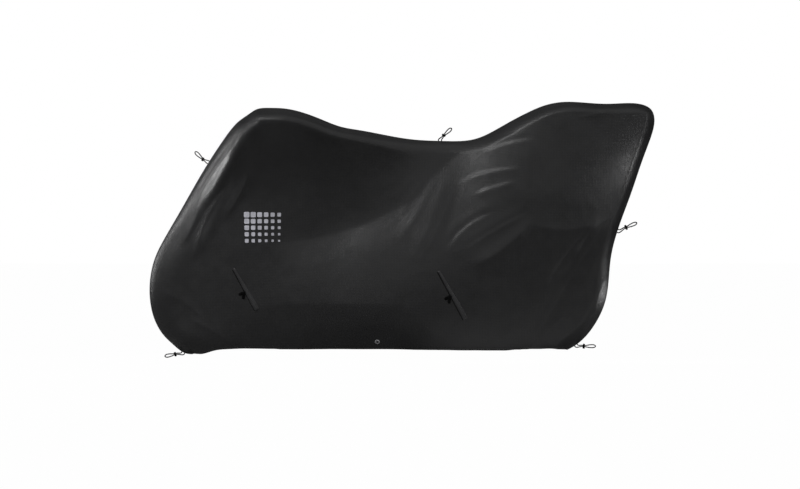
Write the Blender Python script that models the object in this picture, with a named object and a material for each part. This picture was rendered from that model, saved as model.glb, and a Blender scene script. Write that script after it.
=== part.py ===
"""Fitted weather cover of thin coated cloth, in the shape in which it hangs.

Two side panels meet in one seam that runs from the front end of the hem, up the
front, over the top and down the rear. The near panel has two zipped ports, each
under a sewn flap, and a strip of hem with an eyelet. Five short looped cords are
sewn into the seam.

Metres, +Z up. +X runs to the rear, -Y is the near side. The origin lies just
under the lowest dip of the top seam, from which the cover hangs.
"""

import math

import bmesh
import bpy
import numpy as np
from mathutils import Vector
from mathutils.bvhtree import BVHTree

MM = 0.001

# Cloth and the clearance between pieces that touch
CLOTH = 2 * MM
GAP = 0.3 * MM
HALF_GAP = GAP / 2

# Steps of the two panels: along the seam, across the rounded edge, down the side
NEAR_STEPS = (60, 6, 22)
FAR_STEPS = (42, 5, 12)
FIRST_RIB = 0.45
LAST_RIB = 47.55
FINE_STEPS = 300
RIB_NUDGE = 0.02  # half the stretch of ribs over which the seam's heading is read

# The centre seam and the hem, in millimetres, front end of the hem first. Each
# row is one rib of the side: its foot on the hem and its head on the seam.
#   hem x, hem z, seam x, seam z
RIBS = (
    (-1063, -895, -1063, -895),  # front end of the hem
    (-1058, -892, -1099, -886),
    (-1051, -890, -1143, -852),
    (-1037, -890, -1184, -811),
    (-1016, -890, -1220, -747),
    (-991, -884, -1238, -670),
    (-964, -876, -1239, -588),  # foremost point
    (-932, -871, -1220, -496),
    (-895, -869, -1178, -408),
    (-848, -867, -1105, -282),
    (-802, -867, -1018, -131),
    (-760, -867, -936, -5),
    (-727, -867, -877, 71),
    (-706, -867, -845, 97),
    (-689, -868, -817, 116),  # small step below the front crown
    (-668, -868, -783, 135),
    (-634, -868, -727, 139),  # front crown
    (-596, -868, -668, 136),
    (-546, -868, -596, 120),
    (-487, -868, -517, 91),
    (-416, -868, -437, 61),
    (-332, -868, -349, 45),
    (-223, -868, -227, 22),
    (-139, -870, -124, 7),
    (-55, -871, -21, 2),  # dip
    (13, -872, 71, 2),
    (59, -873, 132, 12),
    (97, -873, 193, 38),
    (134, -873, 275, 84),
    (172, -873, 359, 127),
    (197, -873, 422, 152),
    (223, -873, 496, 165),  # front edge of the high rear
    (252, -873, 584, 162),
    (277, -871, 676, 157),
    (296, -870, 760, 160),
    (311, -870, 821, 155),
    (323, -869, 862, 133),
    (336, -869, 877, 88),  # rear top corner
    (351, -868, 864, 21),
    (372, -868, 827, -80),
    (399, -868, 780, -219),
    (428, -867, 734, -345),
    (454, -868, 699, -471),
    (470, -870, 688, -572),
    (485, -871, 675, -664),
    (498, -872, 641, -748),
    (507, -873, 587, -823),
    (512, -875, 542, -860),
    (514, -875, 514, -875),  # rear end of the hem
)

# Half widths of the cover, in millimetres. The edge is rounded over `roof`, from
# the seam to the shoulder; below it the side runs through waist, bulge and hem.
#   rib, roof, shoulder, waist_at (share of the rib), waist, bulge, hem
GIRTHS = (
    (0, 30, 22, 0.50, 24, 24, 24),
    (2, 55, 42, 0.50, 46, 48, 48),
    (4, 75, 56, 0.50, 62, 66, 64),
    (6, 90, 72, 0.50, 82, 84, 76),
    (8, 118, 105, 0.50, 106, 104, 88),
    (9, 130, 140, 0.50, 122, 115, 94),
    (10, 122, 195, 0.50, 142, 128, 100),
    (11, 106, 245, 0.50, 157, 142, 106),
    (13, 95, 275, 0.52, 166, 154, 110),
    (15, 85, 290, 0.53, 169, 164, 114),
    (17, 78, 295, 0.54, 167, 174, 118),
    (19, 68, 260, 0.52, 160, 184, 122),
    (20, 62, 220, 0.48, 152, 190, 125),
    (21, 60, 180, 0.42, 147, 194, 128),
    (22, 58, 135, 0.33, 140, 194, 130),
    (23, 56, 106, 0.27, 134, 192, 130),
    (24, 55, 94, 0.25, 137, 190, 130),
    (25, 55, 98, 0.26, 147, 186, 130),
    (27, 57, 128, 0.30, 172, 182, 128),
    (29, 55, 166, 0.35, 187, 172, 122),
    (31, 52, 188, 0.40, 190, 160, 116),
    (33, 50, 198, 0.42, 186, 148, 108),
    (35, 52, 200, 0.45, 176, 136, 100),
    (37, 55, 194, 0.45, 164, 126, 94),
    (39, 50, 176, 0.45, 148, 114, 88),
    (41, 54, 136, 0.45, 126, 106, 82),
    (43, 66, 96, 0.45, 104, 96, 76),
    (45, 72, 66, 0.50, 76, 74, 60),
    (47, 34, 26, 0.50, 28, 28, 28),
    (48, 30, 22, 0.50, 24, 24, 24),
)
SHOULDER_AT = 0.08
BULGE_AT = 0.8

# Main folds of the near side, in millimetres. Each is a ridge, or a trough where
# the height is negative, along a bowed line.
#   name, x0, z0, x1, z1, bow, width, height
NEAR_FOLDS = (
    ("front_pull_a", -886, 30, -1045, -220, -10, 17, 7),
    ("front_trough", -880, -20, -1000, -250, -8, 18, -8),
    ("front_pull_b", -858, -40, -1035, -290, 8, 20, 9),
    ("front_trough_low", -880, -130, -1060, -430, 6, 22, -8),
    ("front_pull_c", -925, -235, -1045, -480, 10, 22, 8),
    ("front_pull_d", -815, -150, -930, -330, 4, 20, 6),
    ("dip_fan_a", -85, -165, -285, -345, -12, 26, 7),
    ("dip_fan_b", -40, -155, -190, -420, -14, 24, 7),
    ("dip_fan_c", 5, -150, -140, -490, -16, 24, 7),
    ("dip_fan_d", 68, -95, -115, -520, -20, 26, 8),
    ("drag_a", 165, -30, 360, 25, 6, 22, 9),
    ("drag_b", 70, -155, 300, -105, 8, 26, 11),
    ("drag_c", 115, -228, 285, -168, 6, 24, 10),
    ("drag_d", 15, -385, 200, -270, 14, 24, 11),
    ("drag_e", 85, -425, 335, -285, 8, 26, 10),
    ("rear_brow", 125, -520, 345, -350, -14, 34, 12),
    ("rear_edge", 815, -30, 690, -325, -10, 20, 8),
    ("rear_drop_trough", 600, -375, 435, -580, 8, 24, -8),
    ("rear_drop", 630, -350, 540, -490, 6, 22, 7),
    ("hem_ripple_a", 395, -790, 440, -868, 4, 22, 5),
    ("hem_ripple_b", 490, -740, 455, -868, -4, 24, -5),
)
# The far side hangs plainly, with the broadest of these pulls.
FAR_FOLDS = (
    ("front_pull", -870, -20, -1040, -280, 6, 24, 8),
    ("dip_fan_a", -40, -155, -200, -430, -14, 30, 7),
    ("dip_fan_b", 60, -100, -110, -510, -18, 30, 8),
    ("drag_a", 75, -160, 300, -100, 8, 32, 9),
    ("drag_b", 60, -400, 320, -280, 10, 32, 10),
    ("rear_drop", 610, -370, 450, -570, 8, 30, 7),
)
FOLD_FADE = 40 * MM  # folds die out over this distance from the seam
FOLD_OVERRUN = 0.15  # a fold's ends reach past its line by this share of it
FOLD_TAPER = 0.4  # and die out over this share

# Hem strip with its eyelet; it leans out of the upright as the hem does there
EYELET_X = -283 * MM
EYELET_Z = -837 * MM
EYELET_HALF_WIDTH = 145.5 * MM  # from the centre to the cloth's outer face
STRIP_SLOPE = 0.5  # outwards for each unit of height
STRIP_LENGTH = 100 * MM
STRIP_RISE = 28 * MM  # above the eyelet's middle, along the strip
STRIP_DROP = 35 * MM
STRIP_BLEND = 70 * MM  # the side turns flat over this distance
NOTCH_REACH = 25 * MM
EYELET_BORE = 4.5 * MM
EYELET_BARREL = 6.0 * MM
EYELET_FLANGE = 10.5 * MM
EYELET_PLATE = 0.9 * MM
EYELET_LIP = 0.5 * MM
ROUND_SIDES = 20

# Zipped ports: top and foot of each zip on the side, and the slider's place
#   name, top x, top z, foot x, foot z, slider_at (share of the length)
PORTS = (
    ("front_port", -882, -534, -788, -706, 0.54),
    ("rear_port", -32, -544, 76, -744, 0.50),
)
FLAP_TOP_WIDTH = 9 * MM
FLAP_WIDTH = 17 * MM
FLAP_THICK = 1.2 * MM
TAPE_WIDTH = 7 * MM
TAPE_THICK = 1.0 * MM
TAPE_SETBACK = 0.4 * MM  # between the flap's edge and the tape beside it
FLAP_FLARE = 2.2  # the flap is full width after 1 / this of its length
STRIP_STEPS = 9
SLIDER = (8 * MM, 13 * MM, 3.6 * MM)  # across, along, thick
SLIDER_NOSE = 0.62  # width of its narrow end
PULL_TAILS = ((-24 * MM, -13 * MM), (-5 * MM, -31 * MM))  # x, z of each tail's end
PULL_WIDTH = 7 * MM
PULL_ROOT = 0.5  # width of a tail at the slider, as a share of its end's
PULL_FORK = 0.25  # where the tails part, as a share of their ends' sum
PULL_CROWN = 4 * MM  # the puller's reach above the slider's middle
PULL_THICK = 1.4 * MM

# Cord loops. The two strands leave the seam at `root`, a little apart, run into
# the knot and come out of it as one long eye that ends at `tip`, in millimetres.
#   name, root x, root z, knot x, knot z, tip x, tip z
LOOPS = (
    ("front_loop", -992.5, -89, -1016.5, -75.5, -1049, -44),
    ("top_loop", -21, 2, -5.5, 25, 27, 54.5),
    ("rear_loop", 721, -375, 759.5, -361.5, 805, -342),
    ("front_foot_loop", -1099, -886, -1132, -893.5, -1176, -902),
    ("rear_foot_loop", 550, -855.5, 582, -860, 632, -860),
)
CORD = 3 * MM
STRAND_PITCH = CORD + GAP
ROOT_SPREAD = 6 * MM  # half the distance between the strands at the seam
LEAD_OUT = 4 * MM  # strands run straight this far out of the seam and the knot
LEG_SPLAY = 1 * MM
LEG_GATHER = 0.3  # share of a leg that runs along the knot's axis
LEG_STEP = GAP / 3
EYE_HALF = 6.2 * MM
# The eye's outline: share of its length, share of its half width
EYE_SHAPE = ((0.28, 0.62), (0.5, 0.9), (0.75, 1.0), (0.93, 0.66))
KNOT_LENGTH = 10 * MM
KNOT_RADIUS = 5 * MM
KNOT_END_RADIUS = 3.5 * MM
KNOT_WAIST = 0.86  # share of the radius between the knot's two turns
KNOT_SIDES = 10
ROUTE_SAMPLES = 400
LEG_POINTS = 6
EYE_POINTS = 20

CLOTH_BLACK = (0.012, 0.012, 0.013)
STRIP_BLACK = (0.020, 0.020, 0.021)
ZIP_BLACK = (0.006, 0.006, 0.006)
METAL_GREY = (0.32, 0.32, 0.33)
CORD_GREY = (0.16, 0.16, 0.16)
KNOT_GREY = (0.03, 0.03, 0.03)


# -- scene helpers --------------------------------------------------------------


def clear_scene():
    for item in list(bpy.data.objects):
        bpy.data.objects.remove(item, do_unlink=True)


def material(name, colour, roughness, metallic=0.0):
    made = bpy.data.materials.new(name)
    made.use_nodes = True
    shader = made.node_tree.nodes["Principled BSDF"]
    shader.inputs["Base Color"].default_value = (*colour, 1.0)
    shader.inputs["Roughness"].default_value = roughness
    shader.inputs["Metallic"].default_value = metallic
    return made


def add_object(name, data, finish):
    made = bpy.data.objects.new(name, data)
    bpy.context.scene.collection.objects.link(made)
    made.data.materials.append(finish)
    return made


def mesh_from(name, points, faces):
    mesh = bpy.data.meshes.new(name)
    mesh.from_pydata([tuple(p) for p in points], [], faces)
    shape = bmesh.new()
    shape.from_mesh(mesh)
    bmesh.ops.recalc_face_normals(shape, faces=shape.faces)
    shape.to_mesh(mesh)
    shape.free()
    return mesh


# -- the side surface -----------------------------------------------------------


def spline(knots, values, places):
    """Natural cubic spline through values at knots, read at places."""
    count = len(knots)
    step = np.diff(knots)
    slope = np.diff(values) / step
    system = np.eye(count)
    load = np.zeros(count)
    for i in range(1, count - 1):
        system[i, i - 1 : i + 2] = step[i - 1], 2 * (step[i - 1] + step[i]), step[i]
        load[i] = 6 * (slope[i] - slope[i - 1])
    bend = np.linalg.solve(system, load)
    k = np.clip(np.searchsorted(knots, places) - 1, 0, count - 2)
    a = (knots[k + 1] - places) / step[k]
    b = 1 - a
    curve = (a**3 - a) * bend[k] + (b**3 - b) * bend[k + 1]
    return a * values[k] + b * values[k + 1] + curve * step[k] ** 2 / 6


def smooth(value):
    value = np.clip(value, 0.0, 1.0)
    return value * value * (3 - 2 * value)


RIB_TABLE = np.array(RIBS) * MM
SEAM_STEP = np.hypot(*np.diff(RIB_TABLE[:, 2:], axis=0).T)
RIB_KNOTS = np.concatenate([[0.0], np.cumsum(np.sqrt(SEAM_STEP))])
RIB_NUMBERS = np.arange(len(RIBS))


def on_ribs(rib, column):
    """A column of RIBS between its rows."""
    knots = np.interp(rib, RIB_NUMBERS, RIB_KNOTS)
    return spline(RIB_KNOTS, RIB_TABLE[:, column], knots)


GIRTH_TABLE = np.array(GIRTHS, dtype=float)


def on_girths(rib, column):
    return spline(GIRTH_TABLE[:, 0], GIRTH_TABLE[:, column], rib)


SEAM_SAMPLES = 600
SEAM_RIBS = np.linspace(0, len(RIBS) - 1, SEAM_SAMPLES)
SEAM_LINE = np.stack([on_ribs(SEAM_RIBS, 2), on_ribs(SEAM_RIBS, 3)], axis=-1)


def seam_distance(x, z):
    """Distance in the side view from each point to the seam."""
    from_x = x.ravel()[:, None] - SEAM_LINE[None, :-1, 0]
    from_z = z.ravel()[:, None] - SEAM_LINE[None, :-1, 1]
    run_x, run_z = np.diff(SEAM_LINE, axis=0).T
    share = np.clip((from_x * run_x + from_z * run_z) / (run_x**2 + run_z**2), 0, 1)
    away = np.hypot(from_x - share * run_x, from_z - share * run_z)
    return away.min(axis=1).reshape(x.shape)


def seam_normal(rib):
    """Unit vector in the side view from the seam to the inside."""
    dx = on_ribs(rib + RIB_NUDGE, 2) - on_ribs(rib - RIB_NUDGE, 2)
    dz = on_ribs(rib + RIB_NUDGE, 3) - on_ribs(rib - RIB_NUDGE, 3)
    size = np.hypot(dx, dz)
    return dz / size, -dx / size


def rib_points(rib, along):
    """Side-view places on straight ribs; along is 0 at the seam and 1 at the hem."""
    x = on_ribs(rib, 2) * (1 - along) + on_ribs(rib, 0) * along
    z = on_ribs(rib, 3) * (1 - along) + on_ribs(rib, 1) * along
    return x, z


def side_width(rib, along):
    """Half width of the side below its rounded edge."""
    nodes = (SHOULDER_AT, on_girths(rib, 3), BULGE_AT, 1.0)
    widths = [on_girths(rib, column) * MM for column in (2, 4, 5, 6)]
    total = 0.0
    for i, width in enumerate(widths):
        share = 1.0
        for j, node in enumerate(nodes):
            if j != i:
                share = share * (along - node) / (nodes[i] - node)
        total = total + width * share
    return total


def fold_height(folds, x, z):
    """Sum of the folds' heights at side-view points."""
    total = np.zeros_like(x)
    for _, x0, z0, x1, z1, bow, width, height in folds:
        start = np.array([x0, z0]) * MM
        run = np.array([x1, z1]) * MM - start
        length = np.hypot(*run)
        ahead = run / length
        u = ((x - start[0]) * ahead[0] + (z - start[1]) * ahead[1]) / length
        off = (z - start[1]) * ahead[0] - (x - start[0]) * ahead[1]
        off = off - 4 * bow * MM * u * (1 - u)
        lead = smooth((u + FOLD_OVERRUN) / FOLD_TAPER)
        tail = smooth((1 + FOLD_OVERRUN - u) / FOLD_TAPER)
        total = total + height * MM * lead * tail * np.exp(-((off / (width * MM)) ** 2))
    return total


def flat_by_eyelet(x, z):
    """1 on the hem strip, falling to 0 a short way outside it."""
    beside = np.maximum(np.abs(x - EYELET_X) - STRIP_LENGTH / 2, 0)
    above = np.maximum(z - EYELET_Z - STRIP_RISE, 0)
    return 1 - smooth(np.hypot(beside, above) / STRIP_BLEND)


def half_width(rib, along, folds, strip):
    """Outer half width of the cover at points of the ribs."""
    x, z = rib_points(rib, along)
    away = seam_distance(x, z)
    roof = on_girths(rib, 1) * MM
    rise = np.sqrt(np.clip(1 - (1 - np.minimum(away / roof, 1)) ** 2, 0, 1))
    width = side_width(rib, along) * rise
    width = width + fold_height(folds, x, z) * smooth(away / FOLD_FADE)
    if strip:
        flat = flat_by_eyelet(x, z)
        plane = EYELET_HALF_WIDTH + STRIP_SLOPE * (z - EYELET_Z)
        width = width * (1 - flat) + plane * flat
    return x, z, np.maximum(width, HALF_GAP)


def rib_steps(ribs, edge_steps, side_steps):
    """Places down each rib: close together over the rounded edge, then even."""
    turn = np.linspace(0, math.pi / 2, edge_steps + 1)
    down = np.linspace(0, 1, side_steps + 1)[1:]
    fine = np.linspace(0, 1, FINE_STEPS)
    rows = []
    for rib in ribs:
        away = seam_distance(*rib_points(np.full(FINE_STEPS, rib), fine))
        away = np.maximum.accumulate(away)
        edge = min(on_girths(np.array([rib]), 1)[0] * MM, away[-1] / 2)
        over = np.interp(edge * (1 - np.cos(turn)), away, fine)
        rows.append(np.concatenate([over, over[-1] + (1 - over[-1]) * down]))
    return np.array(rows)


def panel_grid(steps, folds, strip):
    """Outer points of one side panel, ribs by places down each rib."""
    columns, edge_steps, side_steps = steps
    ribs = np.linspace(FIRST_RIB, LAST_RIB, columns + 1)
    along = rib_steps(ribs, edge_steps, side_steps)
    rib = np.repeat(ribs[:, None], along.shape[1], axis=1)
    x, z, width = half_width(rib, along, folds, strip)
    width[:, 0] = HALF_GAP
    return np.stack([x, -width, z], axis=-1)


def grid_normals(grid):
    """Unit normals of a near-side grid, pointing out of the cover."""
    down = np.gradient(grid, axis=1)
    ahead = np.gradient(grid, axis=0)
    normal = np.cross(ahead, down)
    normal /= np.linalg.norm(normal, axis=-1, keepdims=True)
    return np.where(normal[..., 1:2] > 0, -normal, normal)


def panel_mesh(name, steps, folds, strip, side):
    """Closed cloth panel; side is -1 for the near one and +1 for the far one.

    Both faces of the cloth share their diagonals, so they never cross in a warped cell.
    """
    outer = panel_grid(steps, folds, strip)
    normal = grid_normals(outer)
    ribs = np.linspace(FIRST_RIB, LAST_RIB, outer.shape[0])
    in_x, in_z = seam_normal(ribs)
    normal[:, 0] = np.stack([-in_x, 0 * in_x, -in_z], axis=-1)
    inner = outer - CLOTH * normal
    inner[..., 1] = np.minimum(inner[..., 1], -HALF_GAP)
    if side > 0:
        outer[..., 1] *= -1
        inner[..., 1] *= -1
    rows, columns = outer.shape[:2]
    points = np.concatenate([outer.reshape(-1, 3), inner.reshape(-1, 3)])
    total = rows * columns

    def corner(i, j, layer):
        return layer * total + i * columns + j

    faces = []
    for i in range(rows - 1):
        for j in range(columns - 1):
            square = [(i, j), (i + 1, j), (i + 1, j + 1), (i, j + 1)]
            for places in (square[:3], [square[0], square[2], square[3]]):
                faces.append([corner(*place, 0) for place in places])
                faces.append([corner(*place, 1) for place in places[::-1]])
    rim = [(i, 0) for i in range(rows)] + [(rows - 1, j) for j in range(1, columns)]
    rim += [(i, columns - 1) for i in range(rows - 2, -1, -1)]
    rim += [(0, j) for j in range(columns - 2, 0, -1)]
    for here, after in zip(rim, rim[1:] + rim[:1]):
        faces.append([corner(*here, 0), corner(*here, 1), corner(*after, 1), corner(*after, 0)])
    return mesh_from(name, points, faces)


# -- seating pieces on the side -------------------------------------------------


# Where a piece's footprint is sampled: across an edge, and in from its outline
ACROSS_SHARES = (0.0, 0.25, 0.5, 0.75, 1.0)
INWARD_SHARES = (0.0, 0.3, 0.6, 0.9)


def tree_of(mesh):
    points = [v.co.copy() for v in mesh.vertices]
    return BVHTree.FromPolygons(points, [tuple(f.vertices) for f in mesh.polygons])


def outermost(trees, x, z):
    """Lowest y, the outermost face, that the near side has at x, z."""
    found = [tree.ray_cast(Vector((x, -1.0, z)), Vector((0, 1, 0)))[0] for tree in trees]
    return min([place.y for place in found if place is not None])


def strip_mesh(name, trees, port, widths, inner_edge, thick):
    """Flat strip of cloth beside a port's zip, laid on the near side.

    widths holds its width at the top and at the foot; inner_edge is how far from
    the zip's line its inner edge lies, and the strip runs away from that edge.
    """
    _, x0, z0, x1, z1, _ = port
    top = np.array([x0, z0]) * MM
    run = np.array([x1, z1]) * MM - top
    across = np.array([-run[1], run[0]]) / np.hypot(*run)
    if across[0] < 0:
        across = -across
    places = np.linspace(0, 1, STRIP_STEPS)
    width = widths[0] + (widths[1] - widths[0]) * smooth(places * FLAP_FLARE)
    sign = 1 if inner_edge >= 0 else -1
    edges = []
    for share, wide in zip(places, width):
        middle = top + run * share
        for edge in (inner_edge, inner_edge + sign * wide):
            edges.append(middle + across * edge)
    edges = np.array(edges).reshape(STRIP_STEPS, 2, 2)
    rest = np.empty((STRIP_STEPS, 2))
    reach = 1.0 / (STRIP_STEPS - 1)
    for i, share in enumerate(places):
        near = np.clip(np.linspace(share - reach, share + reach, STRIP_STEPS), 0, 1)
        for side in (0, 1):
            seen = []
            for place in near:
                k = min(int(place * (STRIP_STEPS - 1)), STRIP_STEPS - 2)
                part = place * (STRIP_STEPS - 1) - k
                row = edges[k] * (1 - part) + edges[k + 1] * part
                for mix in ACROSS_SHARES:
                    spot = row[0] * (1 - mix) + row[1] * mix
                    seen.append(outermost(trees, spot[0], spot[1]))
            rest[i, side] = min(seen)
    rest -= GAP
    points = []
    for i in range(STRIP_STEPS):
        for side, depth in ((0, 0.0), (1, 0.0), (1, thick), (0, thick)):
            x, z = edges[i, side]
            points.append((x, rest[i, side] - depth, z))
    faces = [[0, 1, 2, 3], [4 * (STRIP_STEPS - 1) + k for k in (3, 2, 1, 0)]]
    for i in range(STRIP_STEPS - 1):
        for k in range(4):
            after = (k + 1) % 4
            faces.append([4 * i + k, 4 * i + after, 4 * (i + 1) + after, 4 * (i + 1) + k])
    return mesh_from(name, points, faces)


def plate_mesh(name, trees, outline, thick):
    """Flat plate with a side-view outline, laid on what lies under it."""
    points = np.array(outline)
    middle = points.mean(axis=0)
    seen = []
    for here, after in zip(points, np.roll(points, -1, axis=0)):
        for mix in ACROSS_SHARES:
            rim = here * (1 - mix) + after * mix
            for inward in INWARD_SHARES:
                spot = rim * (1 - inward) + middle * inward
                seen.append(outermost(trees, spot[0], spot[1]))
    back = min(seen) - GAP
    count = len(points)
    solid = [(x, back, z) for x, z in points] + [(x, back - thick, z) for x, z in points]
    faces = [list(range(count)), list(range(2 * count - 1, count - 1, -1))]
    for i in range(count):
        after = (i + 1) % count
        faces.append([i, after, count + after, count + i])
    return mesh_from(name, solid, faces)


def slider_outline(port):
    _, x0, z0, x1, z1, place = port
    top = np.array([x0, z0]) * MM
    run = np.array([x1, z1]) * MM - top
    ahead = run / np.hypot(*run)
    across = np.array([ahead[1], -ahead[0]])
    if across[0] < 0:
        across = -across
    middle = top + run * place - across * TAPE_WIDTH / 2
    half, long = SLIDER[0] / 2, SLIDER[1] / 2
    corners = ((-half, -long), (half, -long), (half * SLIDER_NOSE, long), (-half * SLIDER_NOSE, long))
    return [middle + across * a + ahead * b for a, b in corners], middle


def pull_outline(root):
    """V of two short tails that hang from the slider's eye."""
    points = []
    ends = [np.array(end) for end in PULL_TAILS]
    for end in ends:
        ahead = end / np.hypot(*end)
        beside = np.array([-ahead[1], ahead[0]]) * PULL_WIDTH / 2
        narrow = beside * PULL_ROOT
        points.append((root - narrow, root + end - beside, root + end + beside, root + narrow))
    left, low = points
    hang = ends[0] + ends[1]
    fork = root + hang * PULL_FORK
    crown = root - unit(hang) * PULL_CROWN
    return [crown, left[0], left[1], left[2], fork, low[1], low[2], low[3]]


# -- cord loops -----------------------------------------------------------------


def smooth_route(points, count):
    """Even places on a smooth curve through hand-set side-view points."""
    route = np.array(points, dtype=float)
    reach = np.concatenate([[0.0], np.cumsum(np.hypot(*np.diff(route, axis=0).T))])
    fine = np.linspace(0, reach[-1], ROUTE_SAMPLES)
    x, z = spline(reach, route[:, 0], fine), spline(reach, route[:, 1], fine)
    length = np.concatenate([[0.0], np.cumsum(np.hypot(np.diff(x), np.diff(z)))])
    even = np.linspace(0, length[-1], count)
    return np.stack([np.interp(even, length, x), np.interp(even, length, z)], axis=-1)


def tube(name, route, finish):
    curve = bpy.data.curves.new(name, "CURVE")
    curve.dimensions = "3D"
    curve.bevel_depth = CORD / 2
    curve.bevel_resolution = 2
    curve.use_fill_caps = True
    line = curve.splines.new("POLY")
    line.points.add(len(route) - 1)
    for place, (x, z) in zip(line.points, route):
        place.co = (x, 0.0, z, 1.0)
    return add_object(name, curve, finish)


def unit(vector):
    return vector / np.hypot(*vector)


def square_to(vector):
    return np.array([-vector[1], vector[0]])


def knot_mesh(name, middle, ahead):
    """Turned knot, its axis along the loop, with flat ends for the strands."""
    shape = bmesh.new()
    half = KNOT_LENGTH / 2
    profile = (
        (-1.0, KNOT_END_RADIUS),
        (-0.62, KNOT_RADIUS),
        (-0.22, KNOT_RADIUS * KNOT_WAIST),
        (0.28, KNOT_RADIUS),
        (0.68, KNOT_RADIUS * KNOT_WAIST),
        (1.0, KNOT_END_RADIUS),
    )
    beside = square_to(ahead)
    rings = []
    for place, radius in profile:
        ring = []
        for k in range(KNOT_SIDES):
            turn = 2 * math.pi * k / KNOT_SIDES
            side = radius * math.cos(turn)
            spot = middle + ahead * place * half + beside * side
            ring.append(shape.verts.new((spot[0], radius * math.sin(turn), spot[1])))
        rings.append(ring)
    for low, high in zip(rings, rings[1:]):
        for k in range(KNOT_SIDES):
            after = (k + 1) % KNOT_SIDES
            shape.faces.new((low[k], low[after], high[after], high[k]))
    shape.faces.new(rings[0])
    shape.faces.new(rings[-1])
    bmesh.ops.recalc_face_normals(shape, faces=shape.faces)
    mesh = bpy.data.meshes.new(name)
    shape.to_mesh(mesh)
    shape.free()
    return mesh


def seam_place(spot):
    """Nearest point of the seam and its outward normal, in the side view."""
    run = np.diff(SEAM_LINE, axis=0)
    share = ((spot - SEAM_LINE[:-1]) * run).sum(axis=1) / (run**2).sum(axis=1)
    share = np.clip(share, 0, 1)
    places = SEAM_LINE[:-1] + share[:, None] * run
    k = int(np.argmin(np.hypot(*(places - spot).T)))
    rib = SEAM_RIBS[k] + share[k] * (SEAM_RIBS[1] - SEAM_RIBS[0])
    in_x, in_z = seam_normal(rib)
    return places[k], -np.array([in_x, in_z])


def cap_clearance(route, trees):
    """Least distance from the rim of a strand's first end to the panels."""
    ahead = unit(route[1] - route[0])
    beside = square_to(ahead) * CORD / 2
    least = 1.0
    for k in range(KNOT_SIDES):
        turn = 2 * math.pi * k / KNOT_SIDES
        x, z = route[0] + beside * math.cos(turn)
        rim = Vector((x, CORD / 2 * math.sin(turn), z))
        least = min([least] + [tree.find_nearest(rim)[3] for tree in trees])
    return least


def leg_route(spot, end, ahead, aside, trees):
    """Strand from just clear of the seam at spot into the knot's mouth."""
    base, normal = seam_place(spot)
    seated = None
    for lift in np.arange(2 * CORD, -CORD, -LEG_STEP):
        start = base + normal * lift
        stretch = np.hypot(*(end - start))
        gather = end - ahead * stretch * LEG_GATHER + aside * LEG_SPLAY
        bends = [start, start + normal * LEAD_OUT, gather, end]
        route = smooth_route(bends, LEG_POINTS)
        if cap_clearance(route, trees) < GAP:
            break
        seated = route
    return seated


def build_loop(row, trees, finish, knot_finish):
    name, *places = row
    root, knot, tip = np.array(places).reshape(3, 2) * MM
    ahead = unit(0.5 * unit(knot - root) + 0.5 * unit(tip - knot))
    beside = square_to(ahead)
    add_object(f"{name}_knot", knot_mesh(f"{name}_knot", knot, ahead), knot_finish)
    mouth = knot - ahead * (KNOT_LENGTH / 2 + GAP)
    base, out = seam_place(root)
    along_seam = square_to(out)
    if np.dot(along_seam, beside) < 0:
        along_seam = -along_seam
    for side, label in ((-1, "a"), (1, "b")):
        spot = base + along_seam * side * ROOT_SPREAD
        end = mouth + beside * side * STRAND_PITCH / 2
        route = leg_route(spot, end, ahead, beside * side, trees)
        tube(f"{name}_leg_{label}", route, finish)
    leave = knot + ahead * (KNOT_LENGTH / 2 + GAP)
    reach = unit(tip - leave)
    wide = square_to(reach)
    if np.dot(wide, beside) < 0:
        wide = -wide
    length = np.hypot(*(tip - leave)) - CORD / 2
    shanks = []
    for side in (-1, 1):
        shank = [leave + beside * side * STRAND_PITCH / 2]
        shank.append(shank[0] + ahead * LEAD_OUT)
        for share, open_by in EYE_SHAPE:
            shank.append(leave + reach * length * share + wide * side * EYE_HALF * open_by)
        shanks.append(shank)
    route = shanks[1] + [leave + reach * length] + shanks[0][::-1]
    tube(f"{name}_eye", smooth_route(route, EYE_POINTS), finish)


# -- hem strip and eyelet -------------------------------------------------------


def box_mesh(name, low, high):
    shape = bmesh.new()
    bmesh.ops.create_cube(shape, size=1.0)
    for vertex in shape.verts:
        for axis in range(3):
            share = vertex.co[axis] + 0.5
            vertex.co[axis] = low[axis] + (high[axis] - low[axis]) * share
    mesh = bpy.data.meshes.new(name)
    shape.to_mesh(mesh)
    shape.free()
    return mesh


def cut(target, name, mesh, finish, solver="EXACT"):
    """Takes a hidden guide's shape out of target."""
    guide = add_object(name, mesh, finish)
    guide.hide_render = True
    guide.display_type = "WIRE"
    taken = target.modifiers.new(name, "BOOLEAN")
    taken.operation = "DIFFERENCE"
    taken.solver = solver
    taken.object = guide
    return guide


def turned_mesh(name, profile):
    """Ring turned about the Y axis from (radius, y) points."""
    count = len(profile)
    points = []
    for k in range(ROUND_SIDES):
        turn = 2 * math.pi * k / ROUND_SIDES
        points += [(r * math.cos(turn), y, r * math.sin(turn)) for r, y in profile]
    faces = []
    for k in range(ROUND_SIDES):
        after = (k + 1) % ROUND_SIDES
        for i in range(count):
            j = (i + 1) % count
            faces.append([k * count + i, k * count + j, after * count + j, after * count + i])
    return mesh_from(name, points, faces)


def disc_mesh(name, radius, low_y, high_y):
    """Round plug along the Y axis."""
    points = []
    for y in (low_y, high_y):
        for k in range(ROUND_SIDES):
            turn = 2 * math.pi * k / ROUND_SIDES
            points.append((radius * math.cos(turn), y, radius * math.sin(turn)))
    faces = [list(range(ROUND_SIDES)), list(range(ROUND_SIDES, 2 * ROUND_SIDES))]
    for k in range(ROUND_SIDES):
        after = (k + 1) % ROUND_SIDES
        faces.append([k, after, ROUND_SIDES + after, ROUND_SIDES + k])
    return mesh_from(name, points, faces)


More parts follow.
